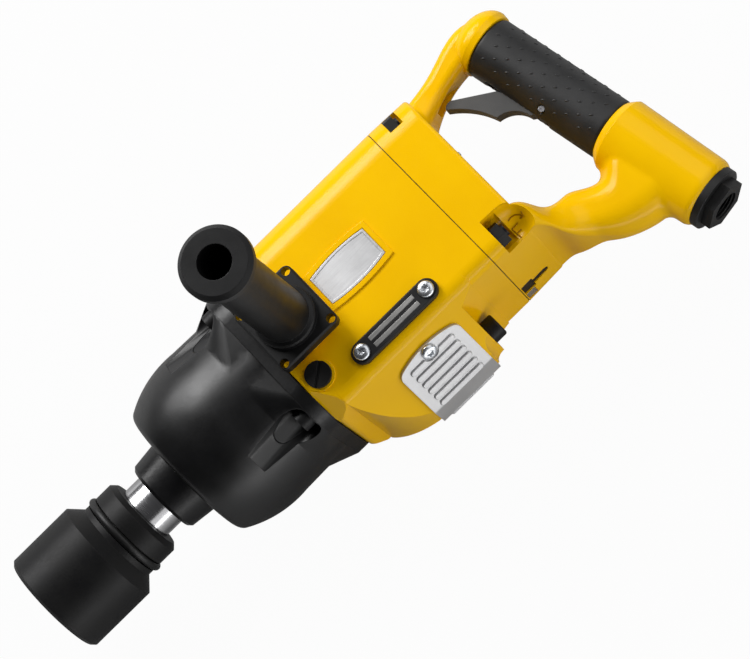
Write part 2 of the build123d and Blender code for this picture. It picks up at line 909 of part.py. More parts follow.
def motor_housing():
    shape = extrude(Plane.YZ.offset(housing_rear) * body_outline(0), amount=body_length)
    shape = fillet(shape.faces().sort_by(Axis.X)[-1].edges(), body_front_round)
    shape &= turned(
        (housing_rear, 0),
        (housing_rear, 2 * body_half),
        (housing_front - body_front_lean, body_front_reach + body_front_lean),
        (housing_front, body_front_reach),
        (housing_front, 0),
    )
    shape += keel_body()
    face = body_half
    shape += upright(side_boss_r, face - side_boss_root, face + side_boss_height, side_x, 0)
    shape += upright(plug_ring_r, face - plug_ring_root, face + plug_ring_height, plug_x, plug_y)
    rim = plate_outline(-plate_rim) - plate_outline(-free_gap)
    rim_place = Plane.XY.offset(face - plate_rim_height) * Pos(plate_x, plate_y)
    shape += extrude(rim_place * rim, amount=2 * plate_rim_height)
    shape -= rod(motor_bore_r, housing_rear, partition_rear)
    shape -= rod(clutch_recess_r, partition_front, housing_front)
    shape -= rod(shaft_seal_r, partition_rear, partition_rear + shaft_seal_length)
    shape -= rod(rotor_shaft_r + partition_bore_gap, partition_rear, partition_front)
    for side_y, side_z in corners:
        y, z = side_y * front_bolt_spread, side_z * front_bolt_spread
        shape -= rod(bolt_r + running_clearance, housing_front - bolt_hole_depth, housing_front, y, z)
        y, z = side_y * rear_bolt_spread, side_z * rear_bolt_spread
        shape -= rod(bolt_r + running_clearance, housing_rear, housing_rear + bolt_hole_depth, y, z)
    shape -= exhaust_block(motor_bore_r * exhaust_bore_share, 0)
    for side in (1, -1):
        window = flank_plane(side, window_middle, -exhaust_wall * 2) * RectangleRounded(
            exhaust_length - window_margin, window_height, keel_edge_r
        )
        shape -= extrude(window, amount=exhaust_wall * 3)
        seat = flank_plane(side, deflector_top)
        shape -= seat * Pos(0, 0, -screw_length) * Cylinder(
            screw_r + running_clearance, 2 * screw_length, align=(Align.CENTER, Align.CENTER, Align.MIN)
        )
    top = face + side_boss_height
    shape -= upright(side_bolt_r + running_clearance, top - side_bolt_depth, top, side_x, 0)
    shape -= upright(
        plug_thread_r + running_clearance, face - plug_thread_length, face + plug_ring_height, plug_x, plug_y
    )
    for x in rail_screw_x:
        shape -= upright(screw_r + running_clearance, face + rail_height - screw_length, face, x, rail_y)
    shape -= rod(
        keel_bolt_r + running_clearance, keel_rear, keel_rear + keel_bolt_length, keel_bolt_y, 0
    )
    return shape


def shaft_seal():
    return ring(
        shaft_seal_r - slip_clearance,
        rotor_shaft_r + running_clearance,
        partition_rear,
        partition_rear + shaft_seal_length - slip_clearance,
    )


def end_plate(front, pocket_front, nut_pocket_rear):
    shape = rod(motor_bore_r - slip_clearance, front - end_plate_thickness, front)
    shape -= rod(bearing_outer_r + running_clearance, nut_pocket_rear, pocket_front)
    return shape - rod(rotor_shaft_r + free_gap, front - end_plate_thickness, front)


def bearing(rear):
    front = rear + bearing_length
    middle = rear + bearing_length / 2
    inner_r = rotor_shaft_r + running_clearance
    groove_r = (inner_r + bearing_outer_r) / 2
    outer = ring(bearing_outer_r, bearing_outer_r - bearing_ring, rear, front)
    inner = ring(inner_r + bearing_ring, inner_r, rear, front)
    track = Pos(middle, 0, 0) * Rot(0, 90, 0) * Torus(groove_r, ball_track_r)
    balls = [
        Rot(k * 360 / ball_count, 0, 0) * Pos(middle, groove_r, 0) * Sphere(ball_r)
        for k in range(ball_count)
    ]
    return outer - track, inner - track, balls


def motor_cylinder():
    shape = rod(motor_bore_r - slip_clearance, cylinder_rear, cylinder_front)
    shape -= rod(rotor_bore_r, cylinder_rear, cylinder_front, eccentric, 0)
    middle = deflector_x
    for step in (-1, 0, 1):
        port = Plane.XZ * Pos(middle + step * exhaust_port_pitch, 0) * Circle(exhaust_port_r)
        shape -= extrude(port, amount=-2 * motor_bore_r)
    return shape


def rotor():
    shape = rod(rotor_r, cylinder_rear + rotor_end_gap, cylinder_front - rotor_end_gap)
    shape += rod(rotor_shaft_r, housing_rear + slip_clearance, partition_front)
    square = Plane.YZ.offset(partition_front) * Rectangle(rotor_square, rotor_square)
    shape += extrude(square, amount=driver_flange_rear - partition_front + square_engagement)
    for k in range(vane_count):
        shape -= vane_slot(k, vane_thickness + 2 * running_clearance, vane_depth, rotor_r + 1, 0)
    return shape


def vane_slot(k, thickness, depth, outer, end_gap):
    start = cylinder_rear + rotor_end_gap + end_gap
    end = cylinder_front - rotor_end_gap - end_gap
    height = outer - rotor_r + depth
    block = Plane.YZ.offset(start) * Rot(0, 0, k * 360 / vane_count) * Pos(outer - height / 2, 0)
    return extrude(block * Rectangle(height, thickness), amount=end - start)


def vanes():
    inset = slip_clearance
    depth = vane_depth - 2 * inset
    return [vane_slot(k, vane_thickness, depth, rotor_r - inset, inset) for k in range(vane_count)]


def rear_gasket():
    shape = extrude(Plane.YZ.offset(cover_front) * body_outline(gasket_inset), amount=gasket_thickness)
    shape -= rod(motor_bore_r, cover_front, housing_rear)
    for side_y, side_z in corners:
        y, z = side_y * rear_bolt_spread, side_z * rear_bolt_spread
        shape -= rod(bolt_r + slip_clearance, cover_front, housing_rear, y, z)
    return shape


def rear_cover_block():
    block = extrude(Plane.YZ.offset(cover_front) * body_outline(0), amount=-cover_length, taper=cover_taper)
    return fillet(block.faces().sort_by(Axis.X)[0].edges(), cover_edge_r)


def arm(root, end, sections):
    faces = []
    for share, offset, high, wide, corner in sections:
        middle = root + (end - root) * share
        place = Plane.YZ.offset(middle.X) * Pos(middle.Y + offset, 0)
        faces.append((place * RectangleRounded(2 * high, 2 * wide, corner)).face())
    return loft(faces)


def upper_arm():
    top = grip_middle - grip_along * sleeve_half
    shape = arm(Vector(cover_rear, -upper_root_y), top - Vector(0, upper_end_rise), upper_arm_sections)
    return shape - grip_rod(sleeve_r + free_gap, -sleeve_half - cap_rim, sleeve_half)


def lower_arm():
    foot = grip_middle + grip_along * (sleeve_half + lower_end_along)
    return arm(Vector(cover_rear, lower_root_y), foot, lower_arm_sections)


def blended(first, second, radius):
    # Joins two castings and rounds the seam between them.
    both = first + second
    outlines = first.edges() + second.edges()
    seam = [edge for edge in both.edges() if all(old.distance_to(edge @ 0.5) > seam_gap for old in outlines)]
    return fillet(seam, radius)


def grip_cap():
    # A dome with a small flat on its top
    start = -sleeve_half
    wall = start - cap_length * cap_wall_share
    depth = wall - start + cap_length
    dome = EllipticalCenterArc((0, wall), cap_r, depth, start_angle=cap_flat - 90, arc_size=90 - cap_flat)
    flat = dome @ 0
    outline = make_face(
        [
            Plane.XZ * Line((0, start), (cap_r - cap_rim, start)),
            Plane.XZ * Line((cap_r - cap_rim, start), (cap_r, wall)),
            Plane.XZ * dome,
            Plane.XZ * Line(flat, (0, flat.Y)),
            Plane.XZ * Line((0, flat.Y), (0, start)),
        ]
    )
    return grip_frame * revolve(outline, Axis.Z)


def inlet_boss():
    start = sleeve_half
    shoulder = start + inlet_boss_round
    rim = boss_end - inlet_boss_round
    outline = make_face(
        [
            Plane.XZ * Line((0, start), (sleeve_r, start)),
            Plane.XZ * TangentArc((sleeve_r, start), (inlet_boss_r, shoulder), tangent=(1, 1)),
            Plane.XZ * Line((inlet_boss_r, shoulder), (inlet_boss_front_r, rim)),
            Plane.XZ * TangentArc((inlet_boss_front_r, rim), (inlet_boss_end_r, boss_end), tangent=(0, 1)),
            Plane.XZ * Line((inlet_boss_end_r, boss_end), (0, boss_end)),
            Plane.XZ * Line((0, boss_end), (0, start)),
        ]
    )
    return grip_frame * revolve(outline, Axis.Z)


def trigger_slot(half_width):
    middle = (slot_front_along + slot_rear_along) / 2
    length = slot_rear_along - slot_front_along
    block = Box(2 * sleeve_r, 2 * half_width, length, align=(Align.MIN, Align.CENTER, Align.CENTER))
    return grip_frame * Pos(slot_floor, 0, middle) * block


def trigger_pocket():
    # Room in the underside of the upper arm for the tip of the squeezed trigger
    block = Box(pocket_length, pocket_depth, 2 * (trigger_half_width + free_gap))
    return Pos(cover_rear - pocket_from_cover, -body_half + pocket_floor, 0) * block


def nut_pocket(side_y, side_z, turn):
    # Room for the nut of a rear stud, open to the outside
    outline = Circle(nut_pocket_r) + Pos(body_half / 2, 0) * Rectangle(body_half, 2 * nut_pocket_r)
    stud = Pos(side_y * rear_bolt_spread, side_z * rear_bolt_spread)
    place = Plane.YZ.offset(nut_pocket_rear) * stud * Rot(0, 0, turn)
    return extrude(place * outline, amount=cover_bolt_seat - nut_pocket_rear)


def scoop():
    # Hollow beside the near screw at the bottom, with a round end
    end = cover_rear - scoop_past_cover
    middle = end + scoop_r
    side = middle - scoop_r * sqrt(0.5)
    outline = make_face(
        [
            ThreePointArc((end, 0), (side, scoop_r * sqrt(0.5)), (middle, scoop_r)),
            Line((middle, scoop_r), (cover_bolt_seat, scoop_r)),
            Line((cover_bolt_seat, scoop_r), (cover_bolt_seat, 0)),
            Line((cover_bolt_seat, 0), (end, 0)),
        ]
    )
    return Pos(0, scoop_y, scoop_z) * revolve(outline, Axis.X)


def valve_recess(gap, floor, roof):
    # Block beside the joint with a narrow tail behind it, as seen from below
    block = Rectangle(valve_length + 2 * gap, valve_width + 2 * gap)
    length = 2 * valve_tail_length + 2 * gap
    tail = SlotOverall(length, valve_tail_width + 2 * gap)
    middle = (valve_front + valve_rear) / 2
    outline = Pos(middle, valve_z) * block + Pos(valve_rear, valve_z) * tail
    outline &= Pos(valve_front + gap - valve_width, valve_z) * Rectangle(2 * valve_width, 2 * valve_width)
    floor_plane = Plane(origin=(0, floor, 0), x_dir=(1, 0, 0), z_dir=(0, -1, 0))
    return extrude(floor_plane * outline, amount=floor - roof)


def valve_plate_block(gap, floor, roof):
    middle_x = valve_front - valve_plate_length / 2
    middle_z = valve_z - (valve_width + valve_plate_width) / 2 - 3 * valve_gap
    block = Box(valve_plate_length + 2 * gap, roof - floor, valve_plate_width + 2 * gap)
    return Pos(middle_x, (roof + floor) / 2, middle_z) * block


def handle_frame():
    shape = blended(rear_cover_block(), upper_arm(), arm_cover_blend)
    shape += blended(lower_arm(), inlet_boss(), arm_boss_blend)
    shape -= scoop()
    shape -= nut_pocket(1, 1, 90)
    shape -= nut_pocket(1, -1, 270)
    shape -= nut_pocket(-1, 1, 135)
    shape -= nut_pocket(-1, -1, 225)
    shape += grip_cap()
    shape += grip_rod(core_r, -sleeve_half - core_overlap, sleeve_half + core_overlap)
    shape -= ring(cover_chamber_r, cover_boss_r, chamber_floor, cover_front)
    for side_y, side_z in corners:
        y, z = side_y * rear_bolt_spread, side_z * rear_bolt_spread
        shape -= rod(bolt_r + running_clearance, cover_bolt_seat, cover_front, y, z)
    shape -= rod(button_r + running_clearance, cover_rear - 2 * button_out, chamber_floor, button_y, 0)
    shape -= rod(button_collar_r + free_gap, chamber_floor, cover_front, button_y, 0)
    nipple_end = cover_rear + nipple_depth + nipple_hole_past
    shape -= rod(nipple_stem_r + running_clearance, cover_rear - nipple_height, nipple_end, nipple_y, 0)
    shape -= valve_recess(valve_gap, body_half - valve_depth, body_half + valve_depth)
    shape -= valve_plate_block(valve_gap, body_half - valve_plate_depth, body_half + valve_plate_depth)
    shape -= grip_rod(air_bore_r, stem_along, boss_end)
    shape -= grip_rod(inlet_bore_r, boss_end - inlet_bore_depth, boss_end)
    shape -= trigger_slot(trigger_half_width + free_gap)
    shape -= trigger_pocket()
    shape -= cross_rod(spool_r + running_clearance, throttle_bore_floor, slot_floor, stem_along)
    shape -= pin_rod(trigger_pin_r + running_clearance, sleeve_r)
    return shape


def valve_cover():
    return valve_recess(0, body_half - valve_depth, body_half - valve_sink)


def valve_plate():
    return valve_plate_block(0, body_half - valve_plate_depth, body_half - valve_plate_sink)


def pin_rod(radius, half_length):
    pin = Cylinder(radius, 2 * half_length)
    return grip_side * Pos(pivot_forward, pivot_along, 0) * pin


def grip_sleeve():
    end = sleeve_half - slip_clearance
    shape = grip_frame * turned_z(
        (core_r + running_clearance, -end),
        (sleeve_r - sleeve_chamfer, -end),
        (sleeve_r, -end + sleeve_chamfer),
        (sleeve_r, end - sleeve_chamfer),
        (sleeve_r - sleeve_chamfer, end),
        (core_r + running_clearance, end),
    )
    shape -= trigger_slot(trigger_half_width + free_gap)
    return shape - pin_rod(trigger_pin_r + running_clearance, sleeve_r)


def from_pin(point):
    return (pivot_forward + point[0], pivot_along + point[1])


def trigger():
    eye = from_pin((0, 0))
    inner = from_pin(trigger_inner)
    root = from_pin(trigger_root)
    horn = from_pin(trigger_horn)
    tip = from_pin(trigger_tip)
    back = from_pin(trigger_back)
    heel = from_pin(trigger_heel)
    outline = make_face(
        [
            grip_side * Line(inner, eye),
            grip_side * Line(eye, root),
            grip_side * ThreePointArc(root, from_pin(trigger_valley), horn),
            grip_side * ThreePointArc(horn, from_pin(trigger_finger), tip),
            grip_side * ThreePointArc(tip, from_pin(trigger_tip_round), back),
            grip_side * Line(back, heel),
            grip_side * Line(heel, inner),
        ]
    )
    lever = extrude(outline, amount=trigger_half_width, both=True)
    lever += grip_side * Pos(*eye) * Cylinder(trigger_eye_r, 2 * trigger_half_width)
    return lever - pin_rod(trigger_pin_r + running_clearance, trigger_half_width)


def trigger_pin():
    half = sqrt(sleeve_r**2 - pivot_forward**2) - trigger_pin_sink
    return pin_rod(trigger_pin_r, half)


def throttle_spool():
    shape = cross_rod(spool_r, -spool_half_length, spool_half_length, stem_along)
    return shape + cross_rod(stem_r, spool_half_length, stem_tip_forward, stem_along)


def throttle_bushing():
    rear = slot_floor - throttle_bushing_length
    outer = cross_rod(spool_r, rear, slot_floor, stem_along)
    return outer - cross_rod(stem_r + running_clearance, rear, slot_floor, stem_along)


def throttle_spring():
    start = throttle_bore_floor + throttle_wire_r + slip_clearance
    end = -spool_half_length - throttle_wire_r - slip_clearance
    radius = spool_r - throttle_wire_r - slip_clearance
    wound = coil(radius, throttle_wire_r, start, end - start, throttle_spring_turns)
    return grip_frame * Pos(0, 0, stem_along) * Rot(0, 90, 0) * wound


def inlet_bushing():
    spigot_start = boss_end - inlet_spigot_length
    hex_start = boss_end + inlet_ring_thickness
    shape = grip_rod(inlet_bore_r - running_clearance, spigot_start, hex_start)
    nut = Plane.XY.offset(hex_start) * RegularPolygon(inlet_hex / 2, 6, major_radius=False)
    shape += grip_frame * extrude(nut, amount=inlet_hex_length)
    return shape - grip_rod(inlet_thread_r, spigot_start, hex_start + inlet_hex_length)


def inlet_ring():
    outer = grip_rod(inlet_ring_r, boss_end, boss_end + inlet_ring_thickness)
    return outer - grip_rod(inlet_bore_r, boss_end, boss_end + inlet_ring_thickness)


def inlet_strainer():
    end = boss_end - inlet_spigot_length - slip_clearance
    start = end - strainer_length
    outer_r = inlet_bore_r - slip_clearance
    cup = grip_rod(outer_r, start, end) - grip_rod(outer_r - strainer_wall, start + strainer_wall, end)
    for k in range(strainer_hole_count):
        hole = Rot(0, 0, k * 360 / strainer_hole_count) * Pos(strainer_hole_ring, 0, start)
        cup -= grip_frame * hole * Cylinder(strainer_hole_r, 4 * strainer_wall)
    return cup


def reverse_button():
    shape = rod(button_r, cover_rear - button_out, chamber_floor, button_y, 0)
    end_edge = shape.faces().sort_by(Axis.X)[0].edges()
    shape = fillet(end_edge, button_round)
    return shape + rod(button_collar_r, chamber_floor, chamber_floor + button_collar_thickness, button_y, 0)


def oil_nipple():
    shape = rod(nipple_r, cover_rear - nipple_height, cover_rear, nipple_y, 0)
    shape = fillet(shape.faces().sort_by(Axis.X)[0].edges(), nipple_round)
    return shape + rod(nipple_stem_r, cover_rear, cover_rear + nipple_depth, nipple_y, 0)


def exhaust_deflector():
    half = deflector_length / 2

    def section(lift):
        y_bottom = keel_depth + lift
        slope = flank_y / flank_z
        down = deflector_top - deflector_arch
        top_y = keel_shoulder_y + flank_down[0] * down + flank_out[0] * lift
        top_z = body_half + flank_down[1] * down + flank_out[1] * lift
        low_z = top_z - (y_bottom - top_y) / slope
        return top_y, top_z, y_bottom, low_z

    inner_y, inner_z, inner_low, inner_half = section(slip_clearance)
    outer_y, outer_z, outer_low, outer_half = section(deflector_thickness)
    plate = make_face(
        Polyline(
            (inner_y, inner_z),
            (outer_y, outer_z),
            (outer_low, outer_half),
            (outer_low, -outer_half),
            (outer_y, -outer_z),
            (inner_y, -inner_z),
            (inner_low, -inner_half),
            (inner_low, inner_half),
            close=True,
        )
    )
    shape = extrude(Plane.YZ.offset(deflector_x - half) * plate, amount=deflector_length)
    edges = shape.edges().filter_by(Axis.X).sort_by(Axis.Y)[-2:]
    shape = fillet(edges, keel_edge_r)
    for side in (1, -1):
        shape = shape - deflector_trim(side, half)
        top = flank_plane(side, 0, deflector_thickness)
        for k in range(louvre_count):
            down = deflector_top + louvre_from_screw + k * louvre_pitch
            length = deflector_length - 2 * louvre_end_margin
            rib = louvre(length, down, top, side)
            if k == 0:
                rib -= screw_pad(side, screw_head_r + louvre_screw_gap)
            shape += rib
        shape -= screw_pad(side, screw_r + running_clearance)
    return shape


def louvre(length, down, top, side):
    bar = extrude(SlotOverall(length, louvre_width), amount=louvre_height + louvre_root)
    crest = bar.faces().sort_by(Axis.Z)[-1].edges()
    bar = chamfer(crest, louvre_chamfer)
    return top * Pos(0, side * down, -louvre_root) * bar


def screw_pad(side, radius):
    return flank_plane(side, deflector_top) * Cylinder(radius, 8 * deflector_thickness)


def deflector_trim(side, half):
    # What lies outside the plate's arched outline on one flank
    arch = (0, deflector_top - deflector_arch)
    kept = make_face(
        [
            Line((-half, 2 * flank_length), (-half, deflector_top)),
            ThreePointArc((-half, deflector_top), arch, (half, deflector_top)),
            Line((half, deflector_top), (half, 2 * flank_length)),
            Line((half, 2 * flank_length), (-half, 2 * flank_length)),
        ]
    )
    kept = fillet(kept.vertices().group_by(Axis.Y)[0], deflector_corner_r)
    outside = Rectangle(4 * half, 2 * flank_length) - kept
    if side < 0:
        outside = mirror(outside, about=Plane.XZ)
    place = flank_plane(side, 0) * Pos(0, 0, -4 * deflector_thickness)
    return place * extrude(outside, amount=8 * deflector_thickness, dir=(0, 0, 1))


def deflector_screws():
    shank = screw_length - screw_end_gap
    return [flank_plane(side, deflector_top, deflector_thickness) * pan_screw(shank) for side in (1, -1)]


def keel_bolt():
    shape = rod(keel_bolt_head_r, keel_rear - keel_bolt_head_height, keel_rear, keel_bolt_y, 0)
    shape = fillet(shape.faces().sort_by(Axis.X)[0].edges(), keel_bolt_round)
    end = keel_rear + keel_bolt_length - keel_bolt_end_gap
    return shape + rod(keel_bolt_r, keel_rear, end, keel_bolt_y, 0)


def silencer_felt():
    return exhaust_block(felt_top, slip_clearance)


def oil_plug():
    seat = body_half + plug_ring_height + plug_seal_thickness
    shape = upright(plug_r, seat, seat + plug_head_height, plug_x, plug_y)
    shape += upright(plug_thread_r, seat - plug_thread_length, seat, plug_x, plug_y)
    slot = Box(2 * plug_r, plug_slot_width, plug_head_height, align=(Align.CENTER, Align.CENTER, Align.MIN))
    return shape - Pos(plug_x, plug_y, seat + plug_slot_floor) * Rot(0, 0, plug_slot_turn) * slot


def oil_plug_seal():
    low = body_half + plug_ring_height
    outer = upright(plug_r, low, low + plug_seal_thickness, plug_x, plug_y)
    return outer - upright(plug_thread_r + slip_clearance, low, low + plug_seal_thickness, plug_x, plug_y)


def rail_place(height):
    return Plane.XY.offset(height) * Pos(rail_x, rail_y)


def side_rail():
    outline = SlotOverall(rail_screw_spacing + rail_width, rail_width)
    bar = extrude(rail_place(body_half) * outline, amount=rail_height)
    bar = chamfer(bar.faces().sort_by(Axis.Z)[-1].edges(), rail_chamfer)
    for x in rail_screw_x:
        bar -= upright(screw_r + running_clearance, body_half, rail_top, x, rail_y)
    for side in (1, -1):
        groove = rail_place(rail_top - inlay_height) * Pos(0, side * inlay_spacing / 2)
        bar -= extrude(groove * Rectangle(inlay_length, inlay_width), amount=inlay_height)
    return bar


def rail_inlays():
    strips = []
    for side in (1, -1):
        place = rail_place(rail_top - inlay_height) * Pos(0, side * inlay_spacing / 2)
        strip = Rectangle(inlay_length - 2 * slip_clearance, inlay_width - 2 * slip_clearance)
        strips.append(extrude(place * strip, amount=inlay_height - slip_clearance))
    return strips


def rail_screws():
    shank = screw_length - screw_end_gap
    return [Pos(x, rail_y, rail_top) * pan_screw(shank) for x in rail_screw_x]


def plate_outline(inset):
    half = plate_length / 2 - inset
    edge = plate_width / 2 - plate_bulge - inset
    crown = plate_width / 2 - inset
    return make_face(
        [
            Line((-half, -edge), (-half, edge)),
            ThreePointArc((-half, edge), (0, crown), (half, edge)),
            Line((half, edge), (half, -edge)),
            ThreePointArc((half, -edge), (0, -crown), (-half, -edge)),
        ]
    )


def name_plate():
    place = Plane.XY.offset(body_half) * Pos(plate_x, plate_y)
    shape = extrude(place * plate_outline(0), amount=plate_thickness)
    floor = Plane.XY.offset(body_half + plate_thickness - plate_recess) * Pos(plate_x, plate_y)
    return shape - extrude(floor * plate_outline(plate_frame), amount=plate_recess)


def side_handle():
    plate = RectangleRounded(side_plate_length, side_plate_width, side_plate_corner_r)
    shape = extrude(Plane.XY.offset(side_low) * plate, amount=side_plate_thickness)
    shape = chamfer(shape.faces().sort_by(Axis.Z)[-1].edges(), side_plate_chamfer)
    base = side_face + side_base_height
    neck = side_top - side_flange_length
    shape += turned_z(
        (0, side_low),
        (side_base_r, side_face - side_base_root),
        (side_base_r, base - side_base_chamfer),
        (side_base_r - side_base_chamfer, base),
        (side_tube_r, base + side_base_chamfer),
        (side_tube_r, neck),
        (side_flange_r, neck + side_flange_flare),
        (side_flange_r, side_top - side_flange_chamfer),
        (side_flange_r - side_flange_chamfer, side_top),
        (0, side_top),
    )
    shape -= Pos(0, 0, side_seat) * Cylinder(
        side_bore_r, side_top - side_seat, align=(Align.CENTER, Align.CENTER, Align.MIN)
    )
    shape -= Cylinder(side_bolt_r + running_clearance, 2 * side_top)
    for step_x, step_y in corners:
        place = Pos(step_x * side_hole_spacing_x / 2, step_y * side_hole_spacing_y / 2, side_low)
        shape -= place * Cylinder(side_hole_r, 2 * side_plate_thickness)
    return Pos(side_x, 0, 0) * shape


def side_handle_washer():
    top = side_seat + side_washer_thickness
    outer = upright(side_bore_r - slip_clearance, side_seat, top, side_x, 0)
    return outer - upright(side_bolt_r + slip_clearance, side_seat, top, side_x, 0)


def side_handle_bolt():
    under_head = side_seat + side_washer_thickness
    top = under_head + side_bolt_head_height
    shape = upright(side_bolt_head_r, under_head, top, side_x, 0)
    end = side_low - side_bolt_depth + side_bolt_end_gap
    shape += upright(side_bolt_r, end, under_head, side_x, 0)
    key = RegularPolygon(side_bolt_key / 2, 6, major_radius=False)
    return shape - extrude(Plane.XY.offset(top) * Pos(side_x, 0) * key, amount=-side_bolt_key_depth)


front_outer, front_inner, front_balls = bearing(cylinder_front + end_plate_thickness - bearing_length)
rear_outer, rear_inner, rear_balls = bearing(housing_rear)

nodes = {
    "clutch_housing": clutch_housing(),
    "nose_boot": nose_boot(),
    "front_bolts": [cap_screw(y * front_bolt_spread, z * front_bolt_spread) for y, z in corners],
    "front_gasket": front_gasket(),
    "anvil": anvil(),
    "anvil_bushing": anvil_bushing(),
    "nose_seal": nose_seal(),
    "hammer": hammer(),
    "hammer_driver": hammer_driver(),
    "cam_balls": cam_balls(),
    "hammer_spring": hammer_spring(),
    "impact_socket": impact_socket(),
    "socket_retaining_ring": socket_retaining_ring(),
    "socket_pin": socket_pin(),
    "motor_housing": motor_housing(),
    "shaft_seal": shaft_seal(),
    "front_end_plate": end_plate(partition_rear, partition_rear, partition_rear - bearing_length),
    "front_bearing_outer": front_outer,
    "front_bearing_inner": front_inner,
    "front_bearing_balls": front_balls,
    "motor_cylinder": motor_cylinder(),
    "rotor": rotor(),
    "vanes": vanes(),
    "rear_end_plate": end_plate(cylinder_rear, housing_rear + bearing_length, housing_rear),
    "rear_bearing_outer": rear_outer,
    "rear_bearing_inner": rear_inner,
    "rear_bearing_balls": rear_balls,
    "rear_gasket": rear_gasket(),
    "handle_frame": handle_frame(),
    "rear_studs": [stud_nut(y * rear_bolt_spread, z * rear_bolt_spread) for y, z in corners],
    "valve_cover": valve_cover(),
    "valve_plate": valve_plate(),
    "grip_sleeve": grip_sleeve(),
    "trigger": trigger(),
    "trigger_pin": trigger_pin(),
    "throttle_spool": throttle_spool(),
    "throttle_bushing": throttle_bushing(),
    "throttle_spring": throttle_spring(),
    "inlet_bushing": inlet_bushing(),
    "inlet_ring": inlet_ring(),
    "inlet_strainer": inlet_strainer(),
    "reverse_button": reverse_button(),
    "oil_nipple": oil_nipple(),
    "exhaust_deflector": exhaust_deflector(),
    "deflector_screws": deflector_screws(),
    "keel_bolt": keel_bolt(),
    "silencer_felt": silencer_felt(),
    "oil_plug": oil_plug(),
    "oil_plug_seal": oil_plug_seal(),
    "side_rail": side_rail(),
    "rail_inlays": rail_inlays(),
    "rail_screws": rail_screws(),
    "name_plate": name_plate(),
    "side_handle": side_handle(),
    "side_handle_washer": side_handle_washer(),
    "side_handle_bolt": side_handle_bolt(),
}

os.makedirs("parts", exist_ok=True)
for name, shape in nodes.items():
    if isinstance(shape, list):
        shape = Compound(children=shape)
    export_step(Pos(-socket_mouth, 0, 0) * shape, f"parts/{name}.step")
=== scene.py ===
import bmesh
import bpy
import json
import math
from mathutils import Matrix, Vector, noise


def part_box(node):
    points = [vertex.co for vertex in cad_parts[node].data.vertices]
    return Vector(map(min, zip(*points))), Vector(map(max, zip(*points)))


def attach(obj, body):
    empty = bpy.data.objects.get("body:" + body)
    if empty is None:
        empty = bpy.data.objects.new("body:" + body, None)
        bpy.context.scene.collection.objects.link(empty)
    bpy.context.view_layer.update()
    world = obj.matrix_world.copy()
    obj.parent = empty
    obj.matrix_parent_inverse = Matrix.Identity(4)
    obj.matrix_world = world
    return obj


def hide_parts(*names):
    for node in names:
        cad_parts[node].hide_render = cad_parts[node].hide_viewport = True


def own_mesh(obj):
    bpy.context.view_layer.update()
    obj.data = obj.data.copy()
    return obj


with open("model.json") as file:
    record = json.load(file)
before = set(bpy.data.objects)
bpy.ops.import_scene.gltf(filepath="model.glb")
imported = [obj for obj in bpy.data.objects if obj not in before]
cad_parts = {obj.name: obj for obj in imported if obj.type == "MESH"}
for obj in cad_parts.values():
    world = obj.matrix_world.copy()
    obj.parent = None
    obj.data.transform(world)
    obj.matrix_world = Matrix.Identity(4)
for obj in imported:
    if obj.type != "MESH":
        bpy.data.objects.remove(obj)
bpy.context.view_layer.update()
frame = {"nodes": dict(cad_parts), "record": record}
nodes = frame["nodes"]
mm = 0.001
scene = bpy.context.scene
scene.view_settings.view_transform = "Standard"
print("frame loaded:", len(nodes), "nodes")


# Node trees: a wired socket can stand in a sum, every other node comes from kit.node
class Wire:
    def __init__(self, kit, socket):
        self.kit = kit
        self.socket = socket

    def apply(self, operation, first, second=0.0):
        return self.kit.node("ShaderNodeMath", {"operation": operation}, {0: first, 1: second})

    def __add__(self, other):
        return self.apply("ADD", self, other)

    def __radd__(self, other):
        return self.apply("ADD", other, self)

    def __sub__(self, other):
        return self.apply("SUBTRACT", self, other)

    def __rsub__(self, other):
        return self.apply("SUBTRACT", other, self)

    def __mul__(self, other):
        return self.apply("MULTIPLY", self, other)

    def __truediv__(self, other):
        return self.apply("DIVIDE", self, other)

    def __lt__(self, other):
        return self.apply("LESS_THAN", self, other)

    def __abs__(self):
        return self.apply("ABSOLUTE", self)

    def cosine(self):
        return self.apply("COSINE", self)

    def sine(self):
        return self.apply("SINE", self)

    def atMost(self, limit):
        return self.apply("MINIMUM", self, limit)

    def other(self, name):
        return Wire(self.kit, self.socket.node.outputs[name])


class NodeKit:
    def __init__(self, tree):
        self.tree = tree
        tree.nodes.clear()

    def plug(self, socket, value):
        if isinstance(value, Wire):
            self.tree.links.new(value.socket, socket)
        elif socket.type == "RGBA" and len(value) == 3:
            socket.default_value = (*value, 1.0)
        else:
            socket.default_value = value

    def node(self, kind, settings=None, sockets=None, out=0):
        made = self.tree.nodes.new(kind)
        for name, value in (settings or {}).items():
            if name == "stops":
                ramp = made.color_ramp
                while len(ramp.elements) < len(value):
                    ramp.elements.new(1.0)
                for element, (spot, shade) in zip(ramp.elements, value):
                    element.position = spot
                    element.color = (*shade, 1.0)
            else:
                setattr(made, name, value)
        for name, value in (sockets or {}).items():
            self.plug(made.inputs[name], value)
        return Wire(self, made.outputs[out]) if made.outputs else None

    def vector(self, operation, first, second=(0.0, 0.0, 0.0), out=0):
        return self.node("ShaderNodeVectorMath", {"operation": operation}, {0: first, 1: second}, out)

    def joined(self, x, y, z):
        return self.node("ShaderNodeCombineXYZ", None, {0: x, 1: y, 2: z})

    def fit(self, value, span, target=(0.0, 1.0)):
        return self.node("ShaderNodeMapRange", {"clamp": True},
                         {"Value": value, "From Min": span[0], "From Max": span[1],
                          "To Min": target[0], "To Max": target[1]})


